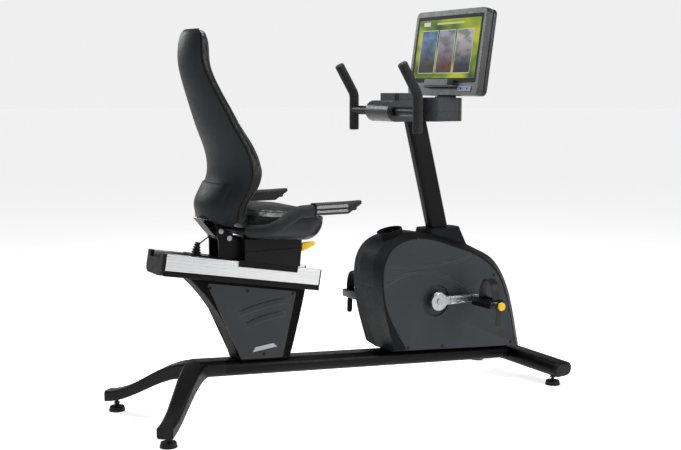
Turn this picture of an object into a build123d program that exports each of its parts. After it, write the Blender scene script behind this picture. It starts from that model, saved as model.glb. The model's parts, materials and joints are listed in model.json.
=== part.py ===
"""Recumbent exercise bike: a low frame, a seat sliding on two sloping rails, and a pedal drive under a tall screen.

Millimetres. +X points forward, towards the screen, +Y to the rider's left, +Z up. The origin is on the floor under
the middle of the footprint. Every length along the bike is counted from the crank axle.
"""
from build123d import *
from math import cos, hypot, radians, sin, tan
import os

os.makedirs("parts", exist_ok=True)

# ---------------------------------------- driving dimensions
CRANK_X = 341.34       # crank axle ahead of the middle of the footprint
CRANK_Z = 358          # crank axle above the floor
CRANK_LENGTH = 170     # crank axle to pedal axle
TREAD = 253            # levelling feet, each side of the middle
WALL = 3               # plastic skins and tube walls
RUN = 0.05             # running clearance on a radius
GAP = 0.4              # air between parts that move past each other
RIGHT, LEFT = -1, 1    # sides, as signs of Y


def along(x):
    """X of a place that lies x ahead of the crank axle."""
    return CRANK_X + x


def save(piece, name):
    """Labels a finished piece and writes it under its own name."""
    piece.part.label = name
    export_step(piece.part, f"parts/{name}.step")


# ---------------------------------------- main beam
BEAM_SLOPE = 3.6       # degrees, falling towards the front
BEAM_WIDTH = 108
BEAM_HEIGHT = 58
BEAM_REAR_X = along(-865)
BEAM_REAR_Z = 180      # middle of the section at the rear joint
BEAM_RUN = 1246        # level distance from the rear joint to the front flange
FLANGE = 6

beam_dir = Vector(cos(radians(BEAM_SLOPE)), 0, -sin(radians(BEAM_SLOPE)))
BEAM_LENGTH = BEAM_RUN / beam_dir.X
beam_rear = Plane(origin=(BEAM_REAR_X, 0, BEAM_REAR_Z), x_dir=(0, 1, 0), z_dir=beam_dir)


def beam_mid(x):
    """Height of the middle of the main beam at x."""
    return BEAM_REAR_Z - (x - BEAM_REAR_X) * tan(radians(BEAM_SLOPE))


def beam_top(x):
    """Height of the beam's flat top at x."""
    return beam_mid(x) + BEAM_HEIGHT / 2 / cos(radians(BEAM_SLOPE))


with BuildPart() as main_beam:
    with BuildSketch(beam_rear):
        SlotOverall(BEAM_WIDTH, BEAM_HEIGHT)
        SlotOverall(BEAM_WIDTH - 2 * WALL, BEAM_HEIGHT - 2 * WALL, mode=Mode.SUBTRACT)
    extrude(amount=BEAM_LENGTH)
    with BuildSketch(beam_rear.offset(BEAM_LENGTH)):
        SlotOverall(BEAM_WIDTH + 4, BEAM_HEIGHT + 4)
    extrude(amount=FLANGE)
save(main_beam, "main_beam")

# ---------------------------------------- rear stabiliser, one casting with two legs
REAR_FOOT_X = along(-1167)
HUB_LENGTH = 100       # straight stub behind the beam joint
LEG_END_X = along(-1190)
LEG_END_Y = 281
STUD_R = 6             # threaded stud of a levelling foot
LEG_FILLET = 9

# distance along the leg as a share of its run, width across, height and middle height of each section
leg_sections = [(-0.06, 84, 56, 180), (0.16, 76, 55, 173), (0.42, 66, 50, 136), (1.0, 58, 41, 56)]
LEG_ROOT_X = BEAM_REAR_X - HUB_LENGTH
LEG_ROOT_Y = 16

with BuildPart() as rear_stabilizer:
    with BuildSketch(beam_rear):
        SlotOverall(BEAM_WIDTH, BEAM_HEIGHT)
    extrude(amount=-HUB_LENGTH)
    leg_run = Vector(LEG_END_X - LEG_ROOT_X, LEG_ROOT_Y - LEG_END_Y, 0)
    for share, width, height, middle in leg_sections:
        spot = Vector(LEG_ROOT_X, -LEG_ROOT_Y, middle) + leg_run * share
        with BuildSketch(Plane(origin=spot, x_dir=Vector(0, 0, 1).cross(leg_run), z_dir=leg_run)):
            RectangleRounded(width, height, LEG_FILLET)
    loft()
    split(bisect_by=Plane.XZ, keep=Keep.TOP)
    mirror(about=Plane.XZ)
    with Locations((REAR_FOOT_X, -TREAD, 30), (REAR_FOOT_X, TREAD, 30)):
        Cylinder(STUD_R + RUN, 70, mode=Mode.SUBTRACT)
save(rear_stabilizer, "rear_stabilizer")

# ---------------------------------------- front stabiliser, a shallow V swept forward
FRONT_FOOT_X = along(464)
FRONT_MID_X = along(437)
FRONT_MID_Z = 88
FRONT_WIDTH = 100
FRONT_HEIGHT = 58
FRONT_SWEEP = 42       # the ends lie this far ahead of the middle
FRONT_DROP = 21        # and this far below it
FRONT_TUBE_Y = 284     # where each tube is cut square
CAP_THICK = 15
CAP_PLUG = 20          # the part of a cap that sits inside the tube

front_run = Vector(FRONT_SWEEP, -FRONT_TUBE_Y, -FRONT_DROP)
front_right = Plane(origin=(FRONT_MID_X, 0, FRONT_MID_Z), x_dir=(FRONT_TUBE_Y, FRONT_SWEEP, 0),
                    z_dir=front_run)

with BuildPart() as front_stabilizer:
    with BuildSketch(front_right):
        SlotOverall(FRONT_WIDTH, FRONT_HEIGHT)
        SlotOverall(FRONT_WIDTH - 2 * WALL, FRONT_HEIGHT - 2 * WALL, mode=Mode.SUBTRACT)
    extrude(amount=front_run.length)
    extrude(front_stabilizer.faces().sort_by(Axis.Y)[-1], amount=FRONT_WIDTH / 4)
    split(bisect_by=Plane.XZ, keep=Keep.TOP)
    mirror(about=Plane.XZ)
    with Locations((FRONT_FOOT_X, -TREAD, 40), (FRONT_FOOT_X, TREAD, 40)):
        Cylinder(STUD_R + RUN, 40, mode=Mode.SUBTRACT)
save(front_stabilizer, "front_stabilizer")

with BuildPart() as stabilizer_end_caps:
    with BuildSketch(front_right.offset(front_run.length)):
        SlotOverall(FRONT_WIDTH, FRONT_HEIGHT)
    extrude(amount=CAP_THICK)
    fillet(stabilizer_end_caps.faces().sort_by(Axis.Y)[0].edges(), radius=9)
    with BuildSketch(front_right.offset(front_run.length - CAP_PLUG)):
        SlotOverall(FRONT_WIDTH - 2 * WALL, FRONT_HEIGHT - 2 * WALL)
    extrude(amount=CAP_PLUG)
    mirror(about=Plane.XZ)
save(stabilizer_end_caps, "stabilizer_end_caps")

# ---------------------------------------- levelling feet: pad, threaded stud and lock nut
PAD_R = 30
PAD_HEIGHT = 18
NUT_WIDTH = 22         # across corners
NUT_THICK = 8
REAR_LEG_BOTTOM = 37   # height of a rear leg's underside at its foot
FRONT_LEG_BOTTOM = FRONT_MID_Z - FRONT_DROP * TREAD / FRONT_TUBE_Y - FRONT_HEIGHT / 2

foot_places = {
    "rear_right": (REAR_FOOT_X, -TREAD, REAR_LEG_BOTTOM),
    "rear_left": (REAR_FOOT_X, TREAD, REAR_LEG_BOTTOM),
    "front_right": (FRONT_FOOT_X, -TREAD, FRONT_LEG_BOTTOM),
    "front_left": (FRONT_FOOT_X, TREAD, FRONT_LEG_BOTTOM),
}
for corner, (foot_x, foot_y, leg_bottom) in foot_places.items():
    with BuildPart() as leveling_foot:
        with BuildSketch(Plane.XY.move(Location((foot_x, foot_y, 0)))):
            Circle(PAD_R)
        extrude(amount=PAD_HEIGHT, taper=12)
        fillet(leveling_foot.edges().filter_by(GeomType.CIRCLE).sort_by(Axis.Z)[-1], radius=3)
        with BuildSketch(Plane.XY.move(Location((foot_x, foot_y, PAD_HEIGHT)))):
            Circle(STUD_R)
        extrude(amount=leg_bottom - PAD_HEIGHT + 20)
        with BuildSketch(Plane.XY.move(Location((foot_x, foot_y, leg_bottom - NUT_THICK - 3)))):
            RegularPolygon(NUT_WIDTH / 2, 6)
        extrude(amount=NUT_THICK)
    save(leveling_foot, f"leveling_foot_{corner}")

# ---------------------------------------- seat pedestal
PEDESTAL_HALF = 50
PEDESTAL_SKIN = 4
COVER_THICK = 3
RAIL_SLOPE = 9.6       # degrees, falling towards the front
RAIL_HEIGHT = 58
RAIL_LENGTH = 604
RAIL_OUTER = 72        # outside of each rail from the middle
RAIL_WIDTH = 24
RAIL_REAR_X = along(-1088)
RAIL_REAR_TOP = 614
TRAY_HEIGHT = 20

rail_dir = Vector(cos(radians(RAIL_SLOPE)), 0, -sin(radians(RAIL_SLOPE)))
rail_up = Vector(sin(radians(RAIL_SLOPE)), 0, cos(radians(RAIL_SLOPE)))
rail_start = Vector(RAIL_REAR_X, 0, RAIL_REAR_TOP)


def on_rail(ahead, above=0, y=0):
    """Point that lies ahead of the rails' rear end along their slope, and above their top face."""
    return rail_start + rail_dir * ahead + rail_up * above + Vector(0, y, 0)


# side view of the rails' frame: sketch X runs down the slope, sketch Y points to the rails' top side
rail_side = Plane(origin=rail_start, x_dir=rail_dir, z_dir=(0, -1, 0))
rail_section = Plane(origin=rail_start, x_dir=(0, 1, 0), z_dir=rail_dir)


def rail_bottom(x):
    """Height of the tray's underside at x."""
    drop = (RAIL_HEIGHT + TRAY_HEIGHT) / cos(radians(RAIL_SLOPE))
    return RAIL_REAR_TOP - (x - RAIL_REAR_X) * tan(radians(RAIL_SLOPE)) - drop


PED_REAR_TOP = along(-1002)
PED_FRONT_TOP = along(-540)
PED_REAR_FOOT = along(-812)
PED_FRONT_FOOT = along(-606)
ped_rear_mid = (along(-915), 422)
ped_front_mid = (along(-567), 329)


def pedestal_outline():
    """Side view of the pedestal, hollow-backed, standing on the beam and meeting the tray."""
    ThreePointArc((PED_REAR_TOP, rail_bottom(PED_REAR_TOP)), ped_rear_mid,
                  (PED_REAR_FOOT, beam_top(PED_REAR_FOOT)))
    Line((PED_REAR_FOOT, beam_top(PED_REAR_FOOT)), (PED_FRONT_FOOT, beam_top(PED_FRONT_FOOT)))
    ThreePointArc((PED_FRONT_FOOT, beam_top(PED_FRONT_FOOT)), ped_front_mid,
                  (PED_FRONT_TOP, rail_bottom(PED_FRONT_TOP)))
    Line((PED_FRONT_TOP, rail_bottom(PED_FRONT_TOP)), (PED_REAR_TOP, rail_bottom(PED_REAR_TOP)))


def cover_outline(inset):
    """Side view of a pedestal cover, drawn in by inset."""
    top_rear = along(-938) + 1.4 * inset
    top_front = along(-583) - inset
    foot_rear = along(-806) + inset
    foot_front = along(-640) - inset
    Polyline((top_rear, rail_bottom(top_rear) - 12 - inset), (foot_rear, beam_top(foot_rear) + 5 + inset),
             (foot_front, beam_top(foot_front) + 5 + inset), (top_front, rail_bottom(top_front) - 12 - inset),
             close=True)


with BuildPart() as pedestal_frame:
    with BuildSketch(Plane.XZ):
        with BuildLine():
            pedestal_outline()
        make_face()
    extrude(amount=PEDESTAL_HALF, both=True)
    fillet(pedestal_frame.edges().filter_by(GeomType.CIRCLE), radius=12)
    with BuildSketch(Plane.XZ):
        with BuildLine():
            pedestal_outline()
        make_face()
        offset(amount=-PEDESTAL_SKIN, mode=Mode.REPLACE, kind=Kind.INTERSECTION)
    extrude(amount=PEDESTAL_HALF - 8, both=True, mode=Mode.SUBTRACT)
    with BuildSketch(Plane.XZ):
        with BuildLine():
            cover_outline(12)
        make_face()
    extrude(amount=PEDESTAL_HALF, both=True, mode=Mode.SUBTRACT)
save(pedestal_frame, "pedestal_frame")

for side, word in ((RIGHT, "right"), (LEFT, "left")):
    with BuildPart() as pedestal_cover:
        with BuildSketch(Plane.XZ.offset(-side * PEDESTAL_HALF)) as cover_side:
            with BuildLine():
                cover_outline(0)
            make_face()
            fillet(cover_side.vertices(), radius=8)
        extrude(amount=-side * COVER_THICK)
    save(pedestal_cover, f"pedestal_cover_{word}")

with BuildPart() as pedestal_badge:
    with BuildSketch(Plane.XZ.offset(PEDESTAL_HALF + COVER_THICK)):
        with Locations(Location((along(-714), 245), 6)):
            Trapezoid(100, 16, 50)
    extrude(amount=1.5)
save(pedestal_badge, "pedestal_badge")

# ---------------------------------------- seat rails, their tray, caps and locking rack
GROOVE_DEPTH = 18      # the rollers run in a groove on each rail's inner side
GROOVE_HEIGHT = 30
FLUTE_R = 1.5
FLUTE_PITCH = 11
RAIL_INNER = RAIL_OUTER - RAIL_WIDTH

for side, word in ((RIGHT, "right"), (LEFT, "left")):
    with BuildPart() as rail:
        with BuildSketch(rail_section):
            with Locations((side * (RAIL_OUTER - RAIL_WIDTH / 2), -RAIL_HEIGHT / 2)):
                RectangleRounded(RAIL_WIDTH, RAIL_HEIGHT, 2)
            with Locations((side * (RAIL_INNER + GROOVE_DEPTH / 2), -RAIL_HEIGHT / 2)):
                Rectangle(GROOVE_DEPTH, GROOVE_HEIGHT, mode=Mode.SUBTRACT)
            flutes = [(side * RAIL_OUTER, FLUTE_PITCH * step - RAIL_HEIGHT / 2) for step in (-2, -1, 0, 1, 2)]
            with Locations(*flutes):
                Circle(FLUTE_R, mode=Mode.SUBTRACT)
        extrude(amount=RAIL_LENGTH)
    save(rail, f"rail_{word}")

with BuildPart() as rail_tray:
    with BuildSketch(rail_section):
        with Locations((0, -RAIL_HEIGHT - TRAY_HEIGHT / 2)):
            RectangleRounded(2 * RAIL_OUTER, TRAY_HEIGHT, 5)
            Rectangle(2 * RAIL_OUTER - 2 * WALL, TRAY_HEIGHT - 2 * WALL, mode=Mode.SUBTRACT)
    extrude(amount=RAIL_LENGTH)
save(rail_tray, "rail_tray")

CAP_DEPTH = 14
CAP_DIP = 21           # the rear cap dips this far below the rails' tops between them
with BuildPart() as rail_end_caps:
    with BuildSketch(rail_section) as cap_end:
        with Locations((0, -(RAIL_HEIGHT + TRAY_HEIGHT) / 2)):
            Rectangle(2 * RAIL_OUTER, RAIL_HEIGHT + TRAY_HEIGHT)
        fillet(cap_end.vertices().group_by(Axis.Y)[0], radius=24)
        with Locations((0, -CAP_DIP / 2)):
            Rectangle(2 * RAIL_INNER, CAP_DIP, mode=Mode.SUBTRACT)
    extrude(amount=-CAP_DEPTH)
    with BuildSketch(rail_section.offset(RAIL_LENGTH)):
        for side in (RIGHT, LEFT):
            with Locations((side * (RAIL_OUTER - RAIL_WIDTH / 2), -(RAIL_HEIGHT + TRAY_HEIGHT) / 2)):
                RectangleRounded(RAIL_WIDTH, RAIL_HEIGHT + TRAY_HEIGHT, 3)
    extrude(amount=5)
save(rail_end_caps, "rail_end_caps")

RACK_HALF = 8
RACK_HEIGHT = 14
RACK_PITCH = 25
RACK_NOTCH = 12
RACK_LENGTH = 500
with BuildPart() as lock_rack:
    with BuildSketch(rail_side):
        with Locations((RAIL_LENGTH / 2, RACK_HEIGHT / 2 - RAIL_HEIGHT)):
            Rectangle(RACK_LENGTH, RACK_HEIGHT)
        with Locations((RAIL_LENGTH / 2, RACK_HEIGHT - RAIL_HEIGHT)):
            with GridLocations(RACK_PITCH, 0, int(RACK_LENGTH / RACK_PITCH) - 1, 1):
                Rectangle(RACK_NOTCH, RACK_HEIGHT, mode=Mode.SUBTRACT)
    extrude(amount=RACK_HALF, both=True)
save(lock_rack, "lock_rack")

# ---------------------------------------- seat carriage
PLATE_START = 273      # places on the rails, counted from their rear end
PLATE_END = 507
TAIL_START = 106       # the plate behind the carriage starts here
PLATE_LIFT = 1.5       # air between the rails' tops and the carriage plate
PLATE_THICK = 3
LIP_GAP = 2            # air between a rail's outer side and the carriage lip
LIP_DROP = 19
CHEEK_OUT = 44         # side plates that hold the roller axles
CHEEK_THICK = 6
AXLE_R = 5
ROLLER_R = GROOVE_HEIGHT / 2 - GAP
ROLLER_WIDTH = 13
ROLLER_PLACES = {"rear": 300, "front": 480}
UPRIGHT_REAR = along(-880)
UPRIGHT_TOP = 703
SEAT_PLATE_Z = 624     # top of the plate that the seat is bolted to
BOLT_HIGH = (along(-880), 677)
BOLT_LOW = (along(-848), 650)
BOLT_R = 5
HANDLE_X = along(-856)
HANDLE_Z = 686
HANDLE_R = 12.5
LEVER_X = along(-597)  # pivot of the seat release lever
LEVER_Z = 596
LEVER_Y = -60          # its knob is on the rider's right
LEVER_R = 8
EAR_THICK = 6
LEVER_EARS = (-33, 17)
SEAT_TILT = 4          # the seat leans forward and down
seat_plane = Plane(
    origin=(along(-668), 0, 644),
    x_dir=(cos(radians(SEAT_TILT)), 0, -sin(radians(SEAT_TILT))),
    z_dir=(sin(radians(SEAT_TILT)), 0, cos(radians(SEAT_TILT))),
)
POST_R = 12            # four posts carry the seat
POST_SPREAD = (140, 80)


def plate_top(x):
    """Height of the carriage plate's top at x."""
    return RAIL_REAR_TOP - (x - RAIL_REAR_X) * tan(radians(RAIL_SLOPE)) + PLATE_LIFT + PLATE_THICK


with BuildPart() as carriage_frame:
    with BuildSketch(rail_section.offset(PLATE_START)):
        with Locations((0, PLATE_LIFT + PLATE_THICK / 2)):
            Rectangle(2 * (RAIL_OUTER + LIP_GAP + PLATE_THICK), PLATE_THICK)
        for side in (RIGHT, LEFT):
            with Locations((side * (RAIL_OUTER + LIP_GAP + PLATE_THICK / 2), (PLATE_LIFT - LIP_DROP) / 2)):
                Rectangle(PLATE_THICK, PLATE_LIFT + LIP_DROP)
            with Locations((side * (CHEEK_OUT - CHEEK_THICK / 2), -22)):
                Rectangle(CHEEK_THICK, 48)
    extrude(amount=PLATE_END - PLATE_START)
    with BuildSketch(rail_section.offset(TAIL_START)):
        with Locations((0, PLATE_LIFT + PLATE_THICK / 2)):
            Rectangle(2 * CHEEK_OUT, PLATE_THICK)
    extrude(amount=PLATE_START - TAIL_START)
    upright_foot = on_rail(205, PLATE_LIFT + 1)
    upright_front = on_rail(330, PLATE_LIFT + 1)
    for side in (RIGHT, LEFT):
        with BuildSketch(Plane.XZ.offset(-side * (CHEEK_OUT - CHEEK_THICK))):
            with BuildLine():
                Polyline((upright_foot.X, upright_foot.Z), (upright_front.X, upright_front.Z),
                         (upright_front.X, SEAT_PLATE_Z - 4), (BOLT_LOW[0] + 20, BOLT_LOW[1]),
                          (HANDLE_X + 18, UPRIGHT_TOP),
                         (HANDLE_X - 24, UPRIGHT_TOP), (UPRIGHT_REAR - 16, 672), (upright_foot.X, 640), close=True)
            make_face()
        extrude(amount=-side * CHEEK_THICK)
    with BuildSketch(Plane.XY.offset(SEAT_PLATE_Z - 8)):
        with Locations((along(-690), 0)):
            Rectangle(200, 120)
    extrude(amount=8)
    for block_x in (along(-770), along(-650)):
        with BuildSketch(Plane.XY.offset(SEAT_PLATE_Z - 4)):
            with Locations((block_x, 0)):
                Rectangle(24, 110)
        extrude(amount=plate_top(block_x) - SEAT_PLATE_Z + 4)
    for place in ROLLER_PLACES.values():
        spot = on_rail(place, -RAIL_HEIGHT / 2)
        with Locations(Location(spot, (90, 0, 0))):
            Cylinder(AXLE_R + RUN, 4 * CHEEK_OUT, mode=Mode.SUBTRACT)
    for bolt_x, bolt_z in (BOLT_HIGH, BOLT_LOW):
        with Locations(Location((bolt_x, 0, bolt_z), (90, 0, 0))):
            Cylinder(BOLT_R + RUN, 4 * CHEEK_OUT, mode=Mode.SUBTRACT)
    with Locations(Location((HANDLE_X, 0, HANDLE_Z), (90, 0, 0))):
        Cylinder(HANDLE_R + RUN, 4 * CHEEK_OUT, mode=Mode.SUBTRACT)
    with BuildSketch(seat_plane):
        with GridLocations(*POST_SPREAD, 2, 2):
            Circle(POST_R)
    extrude(amount=-28)
    for ear_y in LEVER_EARS:
        with BuildSketch(Plane.XZ.offset(-ear_y - EAR_THICK / 2)):
            with Locations((LEVER_X, (LEVER_Z + SEAT_PLATE_Z) / 2 - 8)):
                Rectangle(28, SEAT_PLATE_Z - LEVER_Z + 16)
            with Locations((LEVER_X, LEVER_Z)):
                Circle(LEVER_R + RUN, mode=Mode.SUBTRACT)
        extrude(amount=EAR_THICK)
    with Locations((LEVER_X + 20, 0, plate_top(LEVER_X))):
        Box(64, 16, 24, mode=Mode.SUBTRACT)
save(carriage_frame, "carriage_frame")

COVER_REAR = along(-800)
COVER_FRONT = along(-572)
COVER_HALF = 80
COVER_TOP_REAR = 645
COVER_TOP_FRONT = 630
COVER_STEP_Z = 600     # the cover is a little wider below this line
COVER_STEP = 3
LEVER_SLOT = (48, 20, 64)  # opening for the release lever and its swing
PAWL_NOTCH = (30, 16, 50)  # room in the front wall for the pawl's swing


def carriage_cover_outline(inset, top_drop):
    """Side view of the carriage cover, its foot on the carriage plate."""
    rear = COVER_REAR + inset
    front = COVER_FRONT - inset
    Polyline((rear, plate_top(rear) + 0.2), (front - 10, plate_top(front - 10) + 0.2),
             (front, COVER_TOP_FRONT - top_drop), (rear, COVER_TOP_REAR - top_drop), close=True)


with BuildPart() as carriage_cover:
    with BuildSketch(Plane.XZ):
        with BuildLine():
            carriage_cover_outline(0, 0)
        make_face()
    extrude(amount=COVER_HALF, both=True)
    with BuildSketch(Plane.XY.offset(COVER_STEP_Z)):
        with Locations(((COVER_REAR + COVER_FRONT) / 2, 0)):
            Rectangle(COVER_FRONT - COVER_REAR + 2, 2 * COVER_HALF + 2)
            Rectangle(COVER_FRONT - COVER_REAR + 2, 2 * (COVER_HALF - COVER_STEP), mode=Mode.SUBTRACT)
    extrude(amount=60, mode=Mode.SUBTRACT)
    with BuildSketch(Plane.XZ):
        with BuildLine():
            carriage_cover_outline(WALL, WALL)
        make_face()
    extrude(amount=COVER_HALF - COVER_STEP - WALL, both=True, mode=Mode.SUBTRACT)
    with BuildSketch(Plane.XZ):
        with Locations((COVER_REAR - 10, (COVER_STEP_Z + COVER_TOP_REAR) / 2)):
            Rectangle(60, 110)
    extrude(amount=CHEEK_OUT + 2, both=True, mode=Mode.SUBTRACT)
    with Locations((COVER_FRONT, LEVER_Y, LEVER_Z + 14)):
        Box(*LEVER_SLOT, mode=Mode.SUBTRACT)
    with Locations((COVER_FRONT - 8, 0, LEVER_Z - 45)):
        Box(*PAWL_NOTCH, mode=Mode.SUBTRACT)
    with BuildSketch(seat_plane):
        with GridLocations(*POST_SPREAD, 2, 2):
            Circle(POST_R + 1)
    extrude(amount=-40, mode=Mode.SUBTRACT)
save(carriage_cover, "carriage_cover")

# ---------------------------------------- roller axles
for word, place in ROLLER_PLACES.items():
    spot = on_rail(place, -RAIL_HEIGHT / 2)
    roller_half = RAIL_INNER + 3 + ROLLER_WIDTH
    with BuildPart() as roller:
        with BuildSketch(Plane(origin=spot, z_dir=(0, 1, 0))):
            Circle(AXLE_R)
        extrude(amount=roller_half, both=True)
        for side in (RIGHT, LEFT):
            with BuildSketch(Plane(origin=spot + Vector(0, side * roller_half, 0), z_dir=(0, -side, 0))):
                Circle(ROLLER_R)
            extrude(amount=ROLLER_WIDTH)
            chamfer(roller.faces().sort_by(Axis.Y)[0 if side == RIGHT else -1].edges(), length=1)
    save(roller, f"roller_axle_{word}")

# ---------------------------------------- seat release lever: cross shaft, pawl and knob
KNOB_START = along(-562)
KNOB_END = along(-512)
PAWL_CLEAR = 0.6       # the pawl stands this far above the rack's teeth

rack_top = on_rail((LEVER_X - RAIL_REAR_X) / rail_dir.X, RACK_HEIGHT - RAIL_HEIGHT)
with BuildPart() as seat_lever:
    with BuildSketch(Plane.XZ.offset(-LEVER_Y - 8)):
        with BuildLine():
            Polyline((LEVER_X, LEVER_Z + 8), (KNOB_START, LEVER_Z + 12), (KNOB_START + 4, LEVER_Z + 24),
                     (KNOB_END, LEVER_Z + 22), (KNOB_END + 1, LEVER_Z + 10), (KNOB_START + 8, LEVER_Z - 10),
                     (KNOB_START, LEVER_Z - 10), (LEVER_X, LEVER_Z - 8), close=True)
        make_face()
    extrude(amount=16)
    with BuildSketch(Plane.XZ.offset(-LEVER_Y)):
        with Locations((LEVER_X, LEVER_Z)):
            Circle(LEVER_R)
    extrude(amount=LEVER_Y - 24)
    with BuildSketch(Plane.XZ.offset(-6)):
        with BuildLine():
            Polyline((LEVER_X - 7, LEVER_Z), (LEVER_X + 7, LEVER_Z),
                     (LEVER_X + 5, rack_top.Z + PAWL_CLEAR + 1),
                     (LEVER_X - 5, rack_top.Z + PAWL_CLEAR + 2), close=True)
        make_face()
    extrude(amount=12)
save(seat_lever, "seat_lever")

# ---------------------------------------- backrest: shell and cushion
BACK_SKIN = 4
BACK_GAP = 0.3         # between the shell's rim and the cushion's back
RIM_OVERLAP = 2        # the hollow runs out through the rim by this much

# height, seam line, half width, depth behind the seam and cushion thickness of each level of the backrest
back_levels = [
    (695, -886, 144, 68, 46),
    (760, -860, 158, 74, 47),
    (812, -838, 170, 77, 50),
    (868, -819, 178, 67, 54),
    (925, -823, 174, 62, 50),
    (1030, -868, 152, 55, 47),
    (1128, -913, 130, 45, 45),
    (1212, -949, 108, 37, 43),
    (1262, -964, 101, 32, 42),
    (1320, -966, 96, 29, 41),
    (1352, -964, 88, 24, 37),
    (1376, -958, 66, 12, 24),
]


def back_section(level, skin):
    """Plan of the shell at one level: a straight seam with a bow behind it, drawn in by the skin."""
    _, seam, half_width, depth, _ = level
    rim_x = along(seam) + (RIM_OVERLAP if skin else 0)
    half = half_width - skin
    ThreePointArc((rim_x, -half), (along(seam) - depth + skin, 0), (rim_x, half))
    Line((rim_x, half), (rim_x, -half))


def back_body(skin, lift):
    """The bowed back as a solid, skin smaller all round; its underside rises to the rear."""
    top = back_levels[-1][0] - skin
    with BuildPart() as body:
        for level in back_levels:
            with BuildSketch(Plane.XY.offset(level[0])):
                with BuildLine():
                    back_section(level, skin)
                make_face()
        loft()
        with BuildSketch(Plane.XZ):
            with BuildLine():
                Polyline((along(-1000), 748 + lift), (along(-800), 668 + lift), (along(-800), 600),
                         (along(-1000), 600), close=True)
            make_face()
        extrude(amount=300, both=True, mode=Mode.SUBTRACT)
        if skin:
            split(bisect_by=Plane.XY.offset(top), keep=Keep.BOTTOM)
    return body.part


back_outside = back_body(0, 0)
back_inside = back_body(BACK_SKIN, BACK_SKIN)
with BuildPart() as backrest_shell:
    add(back_outside)
    add(back_inside, mode=Mode.SUBTRACT)
    with Locations((along(-885), 0, 710)):
        Box(60, 104, 60, mode=Mode.SUBTRACT)
save(backrest_shell, "backrest_shell")

with BuildPart() as backrest_cushion:
    for height, seam, half_width, _, thick in back_levels:
        with BuildSketch(Plane.XY.offset(height)):
            with Locations((along(seam) + thick / 2 + BACK_GAP, 0)):
                RectangleRounded(thick, 2 * half_width - 4, 11)
    loft()
    with BuildSketch(Plane.XZ):
        with Locations((along(-860), 690)):
            Rectangle(120, 2 * (706 - 690))
    extrude(amount=300, both=True, mode=Mode.SUBTRACT)
save(backrest_cushion, "backrest_cushion")

# ---------------------------------------- backrest bracket, its bolts and tail cover
BRACKET_THICK = 5
BRACKET_IN = CHEEK_OUT + 0.1
BRACKET_OUT = BRACKET_IN + BRACKET_THICK
SPINE_THICK = 12
bracket_plate = [(-908, 738), (-886, 738), (-886, 704), (-842, 703), (-838, 640), (-860, 636), (-894, 664)]
spine_line = [(-890, 724), (-868, 790), (-852, 850), (-858, 920), (-893, 1030)]
tail_line = [(-946, 720), (-917, 686), (-878, 645), (-832, 624)]
TAIL_HALF = 36

with BuildPart() as backrest_bracket:
    for side in (RIGHT, LEFT):
        with BuildSketch(Plane.XZ.offset(-side * BRACKET_IN)):
            with BuildLine():
                Polyline(*[(along(x), z) for x, z in bracket_plate], close=True)
            make_face()
            with Locations(BOLT_HIGH, BOLT_LOW):
                Circle(BOLT_R + RUN, mode=Mode.SUBTRACT)
            with Locations((HANDLE_X, HANDLE_Z)):
                Circle(HANDLE_R + RUN, mode=Mode.SUBTRACT)
        extrude(amount=-side * BRACKET_THICK)
    with Locations((along(-896), 0, 730)):
        Box(22, 2 * BRACKET_OUT, 14)
    with BuildSketch(Plane.XZ):
        with BuildLine():
            Polyline(*[(along(x), z) for x, z in spine_line])
        trace(line_width=SPINE_THICK)
    extrude(amount=28, both=True)
save(backrest_bracket, "backrest_bracket")

BOLT_HEAD_R = 9.5
BOLT_HEAD = 5
with BuildPart() as bracket_bolts:
    for side in (RIGHT, LEFT):
        for bolt_x, bolt_z in (BOLT_HIGH, BOLT_LOW):
            with BuildSketch(Plane.XZ.offset(-side * BRACKET_OUT)):
                with Locations((bolt_x, bolt_z)):
                    Circle(BOLT_HEAD_R)
            extrude(amount=-side * BOLT_HEAD)
            with BuildSketch(Plane.XZ.offset(-side * BRACKET_OUT)):
                with Locations((bolt_x, bolt_z)):
                    Circle(BOLT_R)
            extrude(amount=side * (BRACKET_THICK + CHEEK_THICK + 2))
save(bracket_bolts, "bracket_bolts")

with BuildPart() as bracket_cover:
    with BuildSketch(Plane.XZ):
        with BuildLine():
            Spline(*[(along(x), z) for x, z in tail_line])
        trace(line_width=WALL)
    extrude(amount=TAIL_HALF, both=True)
save(bracket_cover, "bracket_cover")

# ---------------------------------------- seat
SEAT_SKIN = 4
SEAT_RIM = 84
# height above the seat's underside, length, width, corner radius
seat_levels = [(0, 226, 300, 60), (32, 274, 380, 80), (SEAT_RIM, 292, 400, 90)]


def seat_tub(inset, floor):
    """The seat's tub as a solid, drawn in by inset and starting at floor."""
    with BuildPart() as tub:
        for height, length, width, corner in seat_levels:
            with BuildSketch(seat_plane.offset(max(height, floor))):
                RectangleRounded(length - 2 * inset, width - 2 * inset, corner - inset)
        loft()
    return tub.part


seat_outside = seat_tub(0, 0)
seat_inside = seat_tub(SEAT_SKIN, SEAT_SKIN)
with BuildPart() as seat_shell:
    add(seat_outside)
    add(seat_inside, mode=Mode.SUBTRACT)
save(seat_shell, "seat_shell")

SEAT_CROWN = 112
CUSHION_INSET = SEAT_SKIN + 0.6
cushion_low = seat_tub(CUSHION_INSET, CUSHION_INSET)
with BuildPart() as seat_cushion:
    add(cushion_low)
    for height, inset in ((SEAT_RIM, CUSHION_INSET), (SEAT_CROWN, 46)):
        with BuildSketch(seat_plane.offset(height)):
            _, length, width, corner = seat_levels[-1]
            RectangleRounded(length - 2 * inset, width - 2 * inset, corner - inset / 2)
    loft()
save(seat_cushion, "seat_cushion")

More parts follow.
